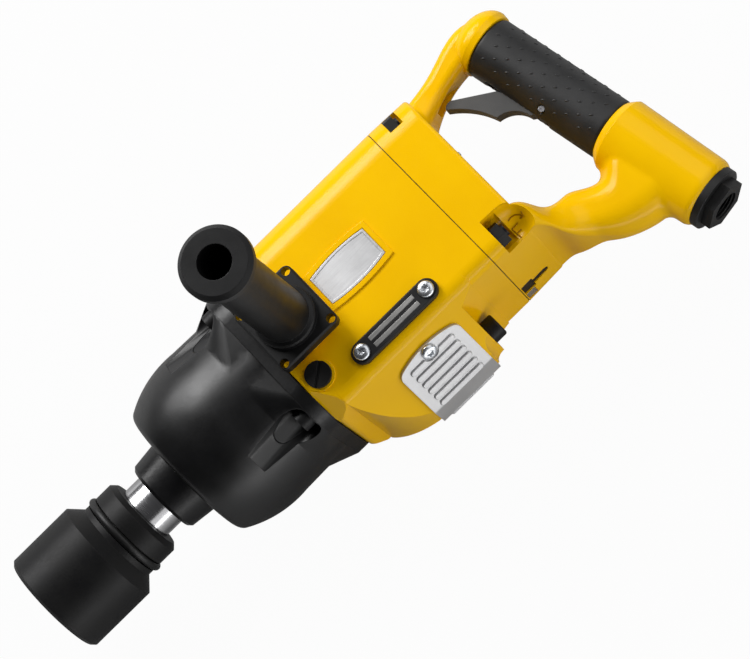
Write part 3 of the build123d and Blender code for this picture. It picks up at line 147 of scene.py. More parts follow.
class Finish(NodeKit):
    edgeSamples = 6

    def __init__(self, name):
        self.material = bpy.data.materials.new(name)
        self.material.use_nodes = True
        super().__init__(self.material.node_tree)
        self.place = self.node("ShaderNodeTexCoord", out="Object")
        self.normal = self.node("ShaderNodeNewGeometry", out="Normal")

    def noise(self, size, detail, stretch=None, rough=0.5):
        spot = self.vector("MULTIPLY", self.place, stretch) if stretch else self.place
        return self.node("ShaderNodeTexNoise", None,
                         {"Vector": spot, "Scale": 1 / size, "Detail": detail, "Roughness": rough})

    def cells(self, size):
        return self.node("ShaderNodeTexVoronoi", None, {"Vector": self.place, "Scale": 1 / size})

    def mix(self, factor, first, second):
        # the colour sockets share their names with others, so they go by number
        return self.node("ShaderNodeMix", {"data_type": "RGBA"}, {0: factor, 6: first, 7: second}, out=2)

    def rounded(self, radius):
        return self.node("ShaderNodeBevel", {"samples": self.edgeSamples}, {"Radius": radius})

    def edges(self, radius, span):
        # how far the rounded normal leaves the true one, which is most at an edge
        bent = self.vector("DOT_PRODUCT", self.rounded(radius), self.normal, out="Value")
        return self.fit(1 - bent, span)

    def bump(self, height, depth, strength, normal):
        return self.node("ShaderNodeBump", None,
                         {"Height": height, "Distance": depth, "Strength": strength, "Normal": normal})

    def close(self, sockets):
        shader = self.node("ShaderNodeBsdfPrincipled", None, sockets)
        self.node("ShaderNodeOutputMaterial", None, {0: shader})
        return self.material


# Yellow enamel on the aluminium castings, and a darker enamel for the cast signs, which is painted shade
# round their raised strokes
enamelLooks = {
    "yellowEnamel": {"colour": (0.9, 0.515, 0.0), "deep": (0.8, 0.41, 0.0), "edgeTone": (0.96, 0.62, 0.005)},
    # painted shade: this darker enamel stands in for the shadow along the sign's raised strokes
    "signEnamel": {"colour": (0.42, 0.19, 0.0), "deep": (0.34, 0.14, 0.0), "edgeTone": (0.6, 0.3, 0.0)},
}
enamelSkin = {
    "rough": 0.19, "gloss": 0.15, "round": 0.5 * mm,
    "cloud": 38 * mm, "cloudDetail": 3.0, "cloudSpan": (0.35, 0.7), "cloudShare": (0.0, 0.35),
    "edge": 0.9 * mm, "edgeSpan": (0.02, 0.35), "edgeShare": 0.3, "edgePolish": 0.05,
    "peel": 1.1 * mm, "peelDepth": 0.025 * mm, "peelStrength": 0.7,
    "peelSpan": (0.3, 0.7), "peelRough": (-0.04, 0.05),
    "cast": 6 * mm, "castDepth": 0.06 * mm, "castStrength": 0.5, "reliefDetail": 1.0,
}


def makeEnamel(name, look, skin):
    kit = Finish(name)
    cloud = kit.noise(skin["cloud"], skin["cloudDetail"])
    peel = kit.noise(skin["peel"], skin["reliefDetail"])
    cast = kit.noise(skin["cast"], skin["reliefDetail"])
    edge = kit.edges(skin["edge"], skin["edgeSpan"])
    body = kit.mix(kit.fit(cloud, skin["cloudSpan"], skin["cloudShare"]), look["colour"], look["deep"])
    colour = kit.mix(edge * skin["edgeShare"], body, look["edgeTone"])
    rough = skin["rough"] + kit.fit(peel, skin["peelSpan"], skin["peelRough"]) - edge * skin["edgePolish"]
    relief = kit.bump(cast, skin["castDepth"], skin["castStrength"], kit.rounded(skin["round"]))
    relief = kit.bump(peel, skin["peelDepth"], skin["peelStrength"], relief)
    return kit.close({"Base Color": colour, "Roughness": rough, "Normal": relief,
                      "Specular IOR Level": skin["gloss"]})


# Black coats, rubbers and plastics share one recipe with their own sizes
blackLooks = {
    "blackPaint": {
        "colour": (0.003, 0.003, 0.0033), "lift": (0.0055, 0.0055, 0.006), "worn": (0.02, 0.02, 0.021),
        "rough": 0.34, "gloss": 0.3, "wear": 0.35,
        "grain": 1.6 * mm, "depth": 0.04 * mm, "edge": 0.6 * mm,
    },
    "bootRubber": {
        "colour": (0.002, 0.002, 0.0022), "lift": (0.004, 0.004, 0.0044), "worn": (0.012, 0.012, 0.013),
        "rough": 0.37, "gloss": 0.42, "wear": 0.3,
        "grain": 0.9 * mm, "depth": 0.01 * mm, "edge": 0.8 * mm,
    },
    "gripRubber": {
        "colour": (0.0095, 0.0095, 0.0098), "lift": (0.0165, 0.0165, 0.0169), "worn": (0.04, 0.04, 0.041),
        "rough": 0.45, "gloss": 0.45, "wear": 0.45,
        "grain": 0.7 * mm, "depth": 0.04 * mm, "edge": 0.5 * mm,
    },
    "sealRubber": {
        "colour": (0.004, 0.004, 0.004), "lift": (0.008, 0.008, 0.008), "worn": (0.02, 0.02, 0.02),
        "rough": 0.42, "gloss": 0.35, "wear": 0.2,
        "grain": 0.6 * mm, "depth": 0.02 * mm, "edge": 0.3 * mm,
    },
    "blackPlastic": {
        "colour": (0.008, 0.008, 0.0083), "lift": (0.013, 0.013, 0.0134), "worn": (0.03, 0.03, 0.031),
        "rough": 0.38, "gloss": 0.22, "wear": 0.5,
        "grain": 0.55 * mm, "depth": 0.03 * mm, "edge": 0.5 * mm,
    },
    "handlePlastic": {
        "colour": (0.004, 0.004, 0.0042), "lift": (0.007, 0.007, 0.0073), "worn": (0.02, 0.02, 0.021),
        "rough": 0.42, "gloss": 0.24, "wear": 0.5,
        "grain": 0.55 * mm, "depth": 0.03 * mm, "edge": 0.5 * mm,
    },
    "triggerPlastic": {
        "colour": (0.04, 0.04, 0.04), "lift": (0.06, 0.06, 0.06), "worn": (0.1, 0.1, 0.1),
        "rough": 0.5, "gloss": 0.45, "wear": 0.4,
        "grain": 0.45 * mm, "depth": 0.05 * mm, "edge": 0.4 * mm,
    },
}
blackSkin = {
    "round": 0.4 * mm, "edgeSpan": (0.03, 0.4), "tangle": 0.6, "strength": 0.8,
    "cloud": 24 * mm, "cloudDetail": 4.0, "cloudSpan": (0.32, 0.7), "cloudRough": (-0.05, 0.06),
    "grainDetail": 3.0, "grainRough": (-0.03, 0.04), "roughSpan": (0.3, 0.7),
    "pitToGrain": 1.7, "pitShare": 0.5,
}


def makeBlack(name, look, skin):
    kit = Finish(name)
    cloud = kit.noise(skin["cloud"], skin["cloudDetail"], rough=skin["tangle"])
    grain = kit.noise(look["grain"], skin["grainDetail"], rough=skin["tangle"])
    pits = kit.cells(look["grain"] * skin["pitToGrain"])
    edge = kit.edges(look["edge"], skin["edgeSpan"])
    body = kit.mix(kit.fit(cloud, skin["cloudSpan"]), look["colour"], look["lift"])
    colour = kit.mix(edge * look["wear"], body, look["worn"])
    rough = look["rough"] + kit.fit(cloud, skin["roughSpan"], skin["cloudRough"])
    rough = rough + kit.fit(grain, skin["roughSpan"], skin["grainRough"])
    relief = kit.bump(grain + pits * skin["pitShare"], look["depth"], skin["strength"],
                      kit.rounded(skin["round"]))
    return kit.close({"Base Color": colour, "Roughness": rough, "Normal": relief,
                      "Specular IOR Level": look["gloss"]})


# Metals: drawn or turned lines lie closer on the axes that line stretches, blasted ones have even grain
metalLooks = {
    "blackOxide": {
        "colour": (0.005, 0.005, 0.0055), "lift": (0.01, 0.0098, 0.0096), "worn": (0.06, 0.059, 0.057),
        "metal": 0.15, "rough": 0.46, "gloss": 0.24, "wear": 0.35,
        "line": (1, 1, 1), "size": 1.0 * mm, "depth": 0.03 * mm,
    },
    "groundSteel": {
        "colour": (0.46, 0.46, 0.47), "lift": (0.54, 0.54, 0.55), "worn": (0.85, 0.85, 0.86),
        "metal": 1.0, "rough": 0.17, "gloss": 0.5, "wear": 0.5,
        "line": (40, 1, 1), "size": 9 * mm, "depth": 0.003 * mm,
    },
    "springSteel": {
        "colour": (0.22, 0.22, 0.24), "lift": (0.34, 0.33, 0.33), "worn": (0.6, 0.6, 0.61),
        "metal": 1.0, "rough": 0.32, "gloss": 0.5, "wear": 0.3,
        "line": (1, 1, 1), "size": 2 * mm, "depth": 0.02 * mm,
    },
    "castIron": {
        "colour": (0.1, 0.1, 0.105), "lift": (0.17, 0.165, 0.16), "worn": (0.4, 0.4, 0.4),
        "metal": 0.85, "rough": 0.5, "gloss": 0.5, "wear": 0.4,
        "line": (1, 1, 1), "size": 1.5 * mm, "depth": 0.08 * mm,
    },
    "zinc": {
        "colour": (0.5, 0.53, 0.57), "lift": (0.66, 0.68, 0.7), "worn": (0.82, 0.83, 0.84),
        "metal": 0.95, "rough": 0.26, "gloss": 0.5, "wear": 0.4,
        "line": (1, 1, 1), "size": 1.2 * mm, "depth": 0.015 * mm,
    },
    "blastedAluminium": {
        "colour": (0.5, 0.5, 0.505), "lift": (0.6, 0.6, 0.605), "worn": (0.72, 0.72, 0.72),
        "metal": 0.6, "rough": 0.42, "gloss": 0.5, "wear": 0.5,
        "line": (1, 1, 1), "size": 0.6 * mm, "depth": 0.05 * mm,
    },
    "brushedPlate": {
        "colour": (0.5, 0.5, 0.505), "lift": (0.6, 0.6, 0.605), "worn": (0.75, 0.75, 0.75),
        "metal": 0.6, "rough": 0.38, "gloss": 0.5, "wear": 0.5,
        "line": (1, 28, 28), "size": 14 * mm, "depth": 0.012 * mm,
    },
    "inlaySteel": {
        "colour": (0.2, 0.2, 0.195), "lift": (0.29, 0.285, 0.275), "worn": (0.6, 0.6, 0.59),
        "metal": 0.8, "rough": 0.36, "gloss": 0.5, "wear": 0.6,
        "line": (1, 28, 28), "size": 14 * mm, "depth": 0.012 * mm,
    },
    "bronze": {
        "colour": (0.42, 0.23, 0.08), "lift": (0.58, 0.35, 0.14), "worn": (0.8, 0.55, 0.28),
        "metal": 1.0, "rough": 0.38, "gloss": 0.5, "wear": 0.4,
        "line": (1, 1, 1), "size": 0.9 * mm, "depth": 0.04 * mm,
    },
}
metalSkin = {
    "round": 0.35 * mm, "edge": 0.6 * mm, "edgeSpan": (0.03, 0.4), "strength": 0.7, "roughSpan": (0.3, 0.7),
    "cloud": 30 * mm, "cloudDetail": 4.0, "cloudTangle": 0.6, "cloudShare": 0.55, "cloudRough": (-0.04, 0.05),
    "lineDetail": 3.0, "lineTangle": 0.65, "lineShare": 0.45, "lineRough": (-0.06, 0.08),
    "bodySpan": (0.35, 0.65), "wearSpan": (0.3, 0.6), "wearShare": (0.4, 1.0),
}


def makeMetal(name, look, skin):
    kit = Finish(name)
    cloud = kit.noise(skin["cloud"], skin["cloudDetail"], rough=skin["cloudTangle"])
    lines = kit.noise(look["size"], skin["lineDetail"], stretch=look["line"], rough=skin["lineTangle"])
    edge = kit.edges(skin["edge"], skin["edgeSpan"])
    tone = kit.fit(cloud * skin["cloudShare"] + lines * skin["lineShare"], skin["bodySpan"])
    body = kit.mix(tone, look["colour"], look["lift"])
    worn = edge * kit.fit(lines, skin["wearSpan"], skin["wearShare"]) * look["wear"]
    colour = kit.mix(worn, body, look["worn"])
    rough = look["rough"] + kit.fit(lines, skin["roughSpan"], skin["lineRough"])
    rough = rough + kit.fit(cloud, skin["roughSpan"], skin["cloudRough"])
    relief = kit.bump(lines, look["depth"], skin["strength"], kit.rounded(skin["round"]))
    return kit.close({"Base Color": colour, "Roughness": rough, "Metallic": look["metal"], "Normal": relief,
                      "Specular IOR Level": look["gloss"]})


# Phenolic laminate of the vanes, with its woven layers
vaneLook = {
    "colour": (0.13, 0.06, 0.025), "thread": (0.23, 0.12, 0.05), "rough": 0.48, "threadRough": 0.1,
    "weave": 0.8 * mm, "waves": 0.3, "waver": 1.2, "depth": 0.03 * mm, "strength": 0.6, "round": 0.2 * mm,
}


def makeVane(name, look):
    kit = Finish(name)
    scale = look["waves"] / look["weave"]
    layers = [kit.node("ShaderNodeTexWave", {"bands_direction": axis},
                       {"Vector": kit.place, "Scale": scale, "Distortion": look["waver"]}) for axis in "XZ"]
    cloth = layers[0] * layers[1]
    colour = kit.mix(cloth, look["colour"], look["thread"])
    rough = look["rough"] + cloth * look["threadRough"]
    relief = kit.bump(cloth, look["depth"], look["strength"], kit.rounded(look["round"]))
    return kit.close({"Base Color": colour, "Roughness": rough, "Normal": relief})


# Wool felt of the silencer
feltLook = {
    "colour": (0.3, 0.29, 0.27), "dark": (0.15, 0.145, 0.135), "rough": 0.9, "toneSpan": (0.35, 0.65),
    "fibre": 0.9 * mm, "fibreDetail": 6.0, "fibreTangle": 0.75, "fibreShare": 0.7,
    "tuft": 6 * mm, "tuftDetail": 3.0, "tuftShare": 0.3, "depth": 0.5 * mm, "strength": 0.9,
}


def makeFelt(name, look):
    kit = Finish(name)
    fibre = kit.noise(look["fibre"], look["fibreDetail"], rough=look["fibreTangle"])
    tuft = kit.noise(look["tuft"], look["tuftDetail"])
    tone = kit.fit(fibre * look["fibreShare"] + tuft * look["tuftShare"], look["toneSpan"])
    colour = kit.mix(tone, look["dark"], look["colour"])
    relief = kit.bump(fibre, look["depth"], look["strength"], kit.normal)
    return kit.close({"Base Color": colour, "Roughness": look["rough"], "Normal": relief})


finishes = {"vane": makeVane("vaneLaminate", vaneLook), "felt": makeFelt("silencerFelt", feltLook)}
for finishName, finishLook in enamelLooks.items():
    finishes[finishName] = makeEnamel(finishName, finishLook, enamelSkin)
for finishName, finishLook in blackLooks.items():
    finishes[finishName] = makeBlack(finishName, finishLook, blackSkin)
for finishName, finishLook in metalLooks.items():
    finishes[finishName] = makeMetal(finishName, finishLook, metalSkin)
print("finishes made:", len(finishes))

# Which finish each slot of the record wears, and the nodes that differ from their slot
slotFinish = {
    "yellow_paint": "yellowEnamel", "black_paint": "blackPaint", "boot_rubber": "bootRubber",
    "grip_rubber": "gripRubber", "seal_rubber": "sealRubber", "black_oxide": "blackOxide",
    "bright_steel": "groundSteel", "spring_steel": "springSteel", "cast_iron": "castIron", "zinc": "zinc",
    "bare_aluminium": "blastedAluminium", "plate_aluminium": "brushedPlate", "black_plastic": "blackPlastic",
    "vane_composite": "vane", "bronze": "bronze", "felt": "felt",
}
nodeFinish = {
    "side_handle": "handlePlastic", "trigger": "triggerPlastic", "trigger_pin": "springSteel",
    "rail_inlays": "inlaySteel",
}
for entry in frame["record"]["subparts"]:
    chosen = nodeFinish.get(entry["node"], slotFinish[entry["material_slot"]])
    for place in nodes[entry["node"]].material_slots:
        place.material = finishes[chosen]
print("solids dressed")

# Making pieces: a worker object is evaluated and only its plain mesh is kept
sharpAngle = math.radians(40)


def settle(worker):
    bpy.context.view_layer.update()
    mesh = bpy.data.meshes.new_from_object(worker.evaluated_get(bpy.context.evaluated_depsgraph_get()))
    bpy.data.objects.remove(worker)
    return mesh


def addWorker(name, data):
    worker = bpy.data.objects.new(name, data)
    scene.collection.objects.link(worker)
    return worker


def addPiece(name, mesh, body, finish, replaced=()):
    mesh.materials.clear()
    mesh.materials.append(finishes[finish])
    mesh.polygons.foreach_set("use_smooth", [True] * len(mesh.polygons))
    piece = addWorker(name, mesh)
    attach(piece, body)
    if replaced:
        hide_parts(*replaced)
    return piece


def standIn(name, mesh, look):
    return addPiece(name, mesh, look["body"], slotFinish[look["slot"]], [look["node"]])


class Growth(NodeKit):
    def __init__(self, name, inputs):
        tree = bpy.data.node_groups.new(name, "GeometryNodeTree")
        super().__init__(tree)
        self.values = {}
        for label, (kind, value) in inputs.items():
            socket = tree.interface.new_socket(label, in_out="INPUT", socket_type="NodeSocket" + kind)
            self.values[socket.identifier] = value
        tree.interface.new_socket("Geometry", in_out="OUTPUT", socket_type="NodeSocketGeometry")
        self.entry = self.node("NodeGroupInput")

    def given(self, label):
        return self.entry.other(label)

    def grow(self, shape, place=None, heading=None):
        whole = self.node("GeometryNodeRealizeInstances", None, {0: shape})
        if place:
            whole = self.node("GeometryNodeTransform", None,
                              {"Geometry": whole, "Translation": place, "Rotation": heading})
        done = self.node("GeometryNodeSetMaterial", None,
                         {"Geometry": whole, "Material": self.given("Finish")})
        self.node("NodeGroupOutput", None, {0: done})
        worker = addWorker(self.tree.name, bpy.data.meshes.new(self.tree.name))
        modifier = worker.modifiers.new("grow", "NODES")
        modifier.node_group = self.tree
        for identifier, value in self.values.items():
            modifier[identifier] = value
        return settle(worker)


# Rubber mouldings: remeshed and relaxed copies of their solids, which rounds them
rubberLooks = {
    "gripSleeve": {"node": "grip_sleeve", "body": "tool", "slot": "grip_rubber",
                   "voxel": 0.7 * mm, "smooth": 4},
    "socketRing": {"node": "socket_retaining_ring", "body": "anvil", "slot": "seal_rubber",
                   "voxel": 0.4 * mm, "smooth": 5},
    "inletRing": {"node": "inlet_ring", "body": "tool", "slot": "seal_rubber",
                  "voxel": 0.4 * mm, "smooth": 4},
    "noseLipSeal": {"node": "nose_seal", "body": "tool", "slot": "seal_rubber",
                    "voxel": 0.4 * mm, "smooth": 3},
    "shaftLipSeal": {"node": "shaft_seal", "body": "tool", "slot": "seal_rubber",
                     "voxel": 0.4 * mm, "smooth": 3},
    "plugSealRing": {"node": "oil_plug_seal", "body": "tool", "slot": "seal_rubber",
                     "voxel": 0.25 * mm, "smooth": 2},
}
mouldSkin = {"weld": 0.002 * mm, "relax": 0.5}


def mergedCopy(node):
    mesh = nodes[node].data.copy()
    shell = bmesh.new()
    shell.from_mesh(mesh)
    bmesh.ops.remove_doubles(shell, verts=shell.verts, dist=mouldSkin["weld"])
    shell.to_mesh(mesh)
    shell.free()
    return mesh


def mouldedMesh(look):
    worker = addWorker("mould", mergedCopy(look["node"]))
    remesh = worker.modifiers.new("remesh", "REMESH")
    remesh.mode = "VOXEL"
    remesh.voxel_size = look["voxel"]
    relax = worker.modifiers.new("relax", "SMOOTH")
    relax.factor = mouldSkin["relax"]
    relax.iterations = look["smooth"]
    return settle(worker)


for pieceName, look in rubberLooks.items():
    standIn(pieceName, mouldedMesh(look), look)

# Thin-walled rubber keeps its solid's faces, with a narrow bevel where the mesh leaves room for one
softenedLooks = {
    "noseBoot": {"node": "nose_boot", "body": "tool", "slot": "boot_rubber", "bevel": 0.5 * mm},
    "frontGasket": {"node": "front_gasket", "body": "tool", "slot": "seal_rubber", "bevel": 0.12 * mm},
    "rearGasket": {"node": "rear_gasket", "body": "tool", "slot": "seal_rubber", "bevel": 0.12 * mm},
}
bevelSteps = 2
for pieceName, look in softenedLooks.items():
    worker = addWorker("softened", mergedCopy(look["node"]))
    soften = worker.modifiers.new("soften", "BEVEL")
    soften.width = look["bevel"]
    soften.segments = bevelSteps
    soften.limit_method = "ANGLE"
    standIn(pieceName, settle(worker), look)
print("rubber mouldings made:", len(rubberLooks) + len(softenedLooks))

# Coil springs: welded copies of their solids, smooth with sharp edges set by angle, each on a mesh of its
# own; the fixed end and the share of length kept are worked out from the joint's travel but not applied
springLooks = {
    "hammerCoil": {"node": "hammer_spring", "body": "rotor", "slot": "spring_steel",
                   "joint": "hammer_slide"},
    "throttleCoil": {"node": "throttle_spring", "body": "tool", "slot": "spring_steel",
                     "joint": "throttle_slide"},
}
joints = {joint["name"]: joint for joint in frame["record"]["behaviour"]["joints"]}
for pieceName, look in springLooks.items():
    mesh = mergedCopy(look["node"])
    axis = Vector(joints[look["joint"]]["axis"])
    travel = max(joints[look["joint"]]["range_m"], key=abs)
    heights = [axis.dot(spot.co) for spot in mesh.vertices]
    low, high = min(heights), max(heights)
    coil = standIn(pieceName, mesh, look)
    mesh.set_sharp_from_angle(angle=sharpAngle)
    axis * (low if travel < 0 else high)
    1 - abs(travel) / (high - low)
    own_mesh(coil)
print("springs made:", len(springLooks))

# Felt block in the exhaust, its faces rumpled inwards
feltShape = {"node": "silencer_felt", "voxel": 1.1 * mm, "smooth": 3, "wave": 7 * mm, "sink": 0.8 * mm}
feltMesh = mouldedMesh(feltShape)
rumpled = bmesh.new()
rumpled.from_mesh(feltMesh)
rumpled.normal_update()
for spot in rumpled.verts:
    # noise runs from -1 to 1, the depth from none to all of the sink
    depth = 0.5 + 0.5 * noise.noise(spot.co / feltShape["wave"])
    spot.co -= spot.normal * feltShape["sink"] * depth
rumpled.to_mesh(feltMesh)
rumpled.free()
addPiece("silencerFelt", feltMesh, "tool", "felt", ["silencer_felt"])
print("felt made")

# The D-handle's grip: its middle in the shared frame, and how far its length leans back from Y
gripLook = {"middle": (-423.4 * mm, -12.2 * mm, 0.0), "lean": math.radians(10)}
gripAlong = Vector((-math.sin(gripLook["lean"]), math.cos(gripLook["lean"]), 0.0))

# Moulded pips on the sleeve: a turned square lattice wrapped round it, open at the trigger
pipLook = {
    "length": 82 * mm, "radius": 19.45 * mm, "pitch": 7.7 * mm, "rows": 25, "turn": math.radians(-30),
    "frontGap": 0.75, "pip": (1.5 * mm, 0.7 * mm, 0.4 * mm), "segments": 8, "rings": 5,
}


def growPips(look):
    kit = Growth("gripPips", {
        "Length": ("Float", look["length"]), "Radius": ("Float", look["radius"]),
        "Pitch": ("Float", look["pitch"]), "Rows": ("Int", look["rows"]), "Turn": ("Float", look["turn"]),
        "Front Gap": ("Float", look["frontGap"]), "Pip": ("Vector", look["pip"]),
        "Place": ("Vector", gripLook["middle"]),
        "Heading": ("Vector", (0.0, 0.0, gripLook["lean"] + math.pi / 2)),
        "Finish": ("Material", finishes["gripRubber"])})
    radius = kit.given("Radius")
    turn = kit.given("Turn")
    side = kit.given("Pitch") * (kit.given("Rows") - 1)
    lattice = kit.node("GeometryNodeMeshGrid", None,
                       {"Size X": side, "Size Y": side, "Vertices X": kit.given("Rows"),
                        "Vertices Y": kit.given("Rows")})
    lattice = kit.node("GeometryNodeTransform", None,
                       {"Geometry": lattice, "Rotation": kit.joined(0.0, 0.0, turn)})
    spot = kit.node("ShaderNodeSeparateXYZ", None, {0: kit.node("GeometryNodeInputPosition")})
    along = spot.other("X")
    angle = spot.other("Y") / radius
    kept = (abs(along) < kit.given("Length") * 0.5) * (abs(angle) < math.pi - kit.given("Front Gap"))
    lattice = kit.node("GeometryNodeDeleteGeometry", {"domain": "POINT"},
                       {"Geometry": lattice, "Selection": 1 - kept})
    wrapped = kit.joined(along, radius * angle.cosine(), radius * angle.sine())
    lattice = kit.node("GeometryNodeSetPosition", None, {"Geometry": lattice, "Position": wrapped})
    outward = kit.vector("MULTIPLY", kit.node("GeometryNodeInputPosition"), (0.0, 1.0, 1.0))
    seat = kit.node("ShaderNodeSeparateXYZ", None, {0: kit.vector("NORMALIZE", outward)})
    slant = turn.sine()
    line = kit.joined(turn.cosine(), seat.other("Z") * slant * -1.0, seat.other("Y") * slant)
    upright = kit.node("FunctionNodeAlignRotationToVector", {"axis": "Z"}, {"Vector": outward})
    turned = kit.node("FunctionNodeAlignRotationToVector", {"axis": "X", "pivot_axis": "Z"},
                      {"Rotation": upright, "Vector": line})
    pip = kit.node("GeometryNodeMeshUVSphere", None,
                   {"Segments": look["segments"], "Rings": look["rings"], "Radius": 1.0})
    pips = kit.node("GeometryNodeInstanceOnPoints", None,
                    {"Points": lattice, "Instance": pip, "Rotation": turned, "Scale": kit.given("Pip")})
    return kit.grow(pips, kit.given("Place"), kit.given("Heading"))


addPiece("gripPips", growPips(pipLook), "tool", "gripRubber")
print("grip pips grown")

# Pipe thread in the air inlet
threadLook = {
    "bore": 9.3 * mm, "pitch": 1.814 * mm, "turns": 10, "depth": 0.75 * mm, "start": 109.5 * mm,
    "stepsPerTurn": 40, "ridgeSides": 4,
}


def growThread(look):
    start = Vector(gripLook["middle"]) + gripAlong * look["start"]
    kit = Growth("inletThread", {
        "Bore": ("Float", look["bore"]), "Pitch": ("Float", look["pitch"]), "Turns": ("Float", look["turns"]),
        "Depth": ("Float", look["depth"]), "Place": ("Vector", start),
        "Heading": ("Vector", (-math.pi / 2, 0.0, gripLook["lean"])),
        "Finish": ("Material", finishes["blackOxide"])})
    helix = kit.node("GeometryNodeCurveSpiral", None,
                     {"Resolution": look["stepsPerTurn"], "Rotations": kit.given("Turns"),
                      "Start Radius": kit.given("Bore"), "End Radius": kit.given("Bore"),
                      "Height": kit.given("Turns") * kit.given("Pitch")})
    ridge = kit.node("GeometryNodeCurvePrimitiveCircle", None,
                     {"Resolution": look["ridgeSides"], "Radius": kit.given("Depth")})
    thread = kit.node("GeometryNodeCurveToMesh", None,
                      {"Curve": helix, "Profile Curve": ridge, "Fill Caps": True})
    return kit.grow(thread, kit.given("Place"), kit.given("Heading"))


addPiece("inletThread", growThread(threadLook), "tool", "blackOxide")
print("inlet thread grown")

# Pan-head screws with a six-lobe recess: rings of radius and height from the shank's end, in millimetres
headLook = {
    "rings": [(2.5, -8.0), (2.5, 0.0), (4.75, 0.0), (5.0, 0.2), (5.0, 1.0), (4.8, 1.5), (4.4, 1.95),
              (3.8, 2.3), (3.1, 2.52), (2.75, 2.58)],
    "recess": [(2.1, 2.58), (2.0, 2.45), (1.9, 0.95), (1.2, 0.8)],
    "lobe": 0.16, "lobes": 6, "around": 72,
}
# Rows of screws in millimetres; a head points along its face plus lean times its own height Z
screwLooks = {
    "railScrews": {"node": "rail_screws", "count": 2, "start": (-289.2, 43.5, 61.0), "step": (51.0, 0.0, 0.0),
                   "face": (0.0, 0.0, 1.0), "lean": 0.0},
    "deflectorScrews": {"node": "deflector_screws", "count": 2, "start": (-265.3, 65.3, -43.0),
                        "step": (0.0, 0.0, 86.0), "face": (0.0, 0.844, 0.0), "lean": 0.536 / 43.0},
}


def headMesh(look):
    shell = bmesh.new()
    rows = []
    for radius, height in look["rings"] + look["recess"]:
        lobed = (radius, height) in look["recess"]
        row = []
        for step in range(look["around"]):
            angle = 2 * math.pi * step / look["around"]
            reach = radius * (1 + look["lobe"] * math.cos(look["lobes"] * angle)) if lobed else radius
            spot = (reach * math.cos(angle) * mm, reach * math.sin(angle) * mm, height * mm)
            row.append(shell.verts.new(spot))
        rows.append(row)
    for low, high in zip(rows, rows[1:]):
        for step in range(look["around"]):
            after = (step + 1) % look["around"]
            shell.faces.new((low[step], low[after], high[after], high[step]))
    shell.faces.new(reversed(rows[0]))
    shell.faces.new(rows[-1])
    mesh = bpy.data.meshes.new("panHead")
    shell.to_mesh(mesh)
    shell.free()
    return mesh


def growScrews(name, look, head):
    kit = Growth(name, {
        "Head": ("Object", head), "Count": ("Int", look["count"]),
        "Start": ("Vector", Vector(look["start"]) * mm), "Step": ("Vector", Vector(look["step"]) * mm),
        "Face": ("Vector", look["face"]), "Lean": ("Float", look["lean"] / mm),
        "Finish": ("Material", finishes["zinc"])})
    row = kit.node("GeometryNodeMeshLine", {"mode": "OFFSET"},
                   {"Count": kit.given("Count"), "Start Location": kit.given("Start"),
                    "Offset": kit.given("Step")})
    height = kit.node("ShaderNodeSeparateXYZ", None, {0: kit.node("GeometryNodeInputPosition")}, out="Z")
    facing = kit.vector("ADD", kit.given("Face"), kit.joined(0.0, 0.0, height * kit.given("Lean")))
    upright = kit.node("FunctionNodeAlignRotationToVector", {"axis": "Z"}, {"Vector": facing})
    shape = kit.node("GeometryNodeObjectInfo", None, {"Object": kit.given("Head")}, out="Geometry")
    screws = kit.node("GeometryNodeInstanceOnPoints", None,
                      {"Points": row, "Instance": shape, "Rotation": upright})
    return kit.grow(screws)


panHead = addWorker("panHead", headMesh(headLook))
for pieceName, look in screwLooks.items():
    screwMesh = growScrews(pieceName, look, panHead)
    addPiece(pieceName, screwMesh, "tool", "zinc", [look["node"]])
    screwMesh.set_sharp_from_angle(angle=sharpAngle)
bpy.data.objects.remove(panHead)
print("screws grown")

# Cast turning sign in the scoop: a curved arrow and the forward letter, as raised lines in millimetres
signLook = {
    "axisY": 50.5, "axisZ": 54.0, "endX": -348.7, "radius": 14.5, "lift": 0.12,
    "wire": 0.42 * mm, "smooth": 3,
    "lines": [
        [(-348.4, 47.0), (-348.6, 50.8), (-348.9, 54.8)],
        [(-348.4, 47.0), (-350.8, 47.0), (-353.2, 47.1)],
        [(-348.6, 50.8), (-350.4, 50.9), (-352.2, 50.9)],
        [(-350.2, 42.6), (-352.6, 42.3), (-355.0, 43.1), (-357.0, 44.9), (-358.3, 47.4)],
        [(-355.9, 46.6), (-358.3, 47.4)],
        [(-359.2, 44.9), (-358.3, 47.4)],
    ],
}


def scoopFloor(x, y):
    beyond = min(0.0, x - signLook["endX"])
    reach = signLook["radius"] - signLook["lift"]
    return signLook["axisZ"] - math.sqrt(reach ** 2 - (y - signLook["axisY"]) ** 2 - beyond ** 2)


signCurve = bpy.data.curves.new("turnSign", "CURVE")
signCurve.dimensions = "3D"
signCurve.bevel_depth = signLook["wire"]
signCurve.bevel_resolution = signLook["smooth"]
signCurve.use_fill_caps = True
for line in signLook["lines"]:
    stroke = signCurve.splines.new("POLY")
    stroke.points.add(len(line) - 1)
    for point, (x, y) in zip(stroke.points, line):
        point.co = (x * mm, y * mm, scoopFloor(x, y) * mm, 1.0)
# the sign wears the darker enamel: painted shade in place of the shadow along its raised strokes
addPiece("turnSign", settle(addWorker("turnSign", signCurve)), "tool", "signEnamel")
print("turning sign made")

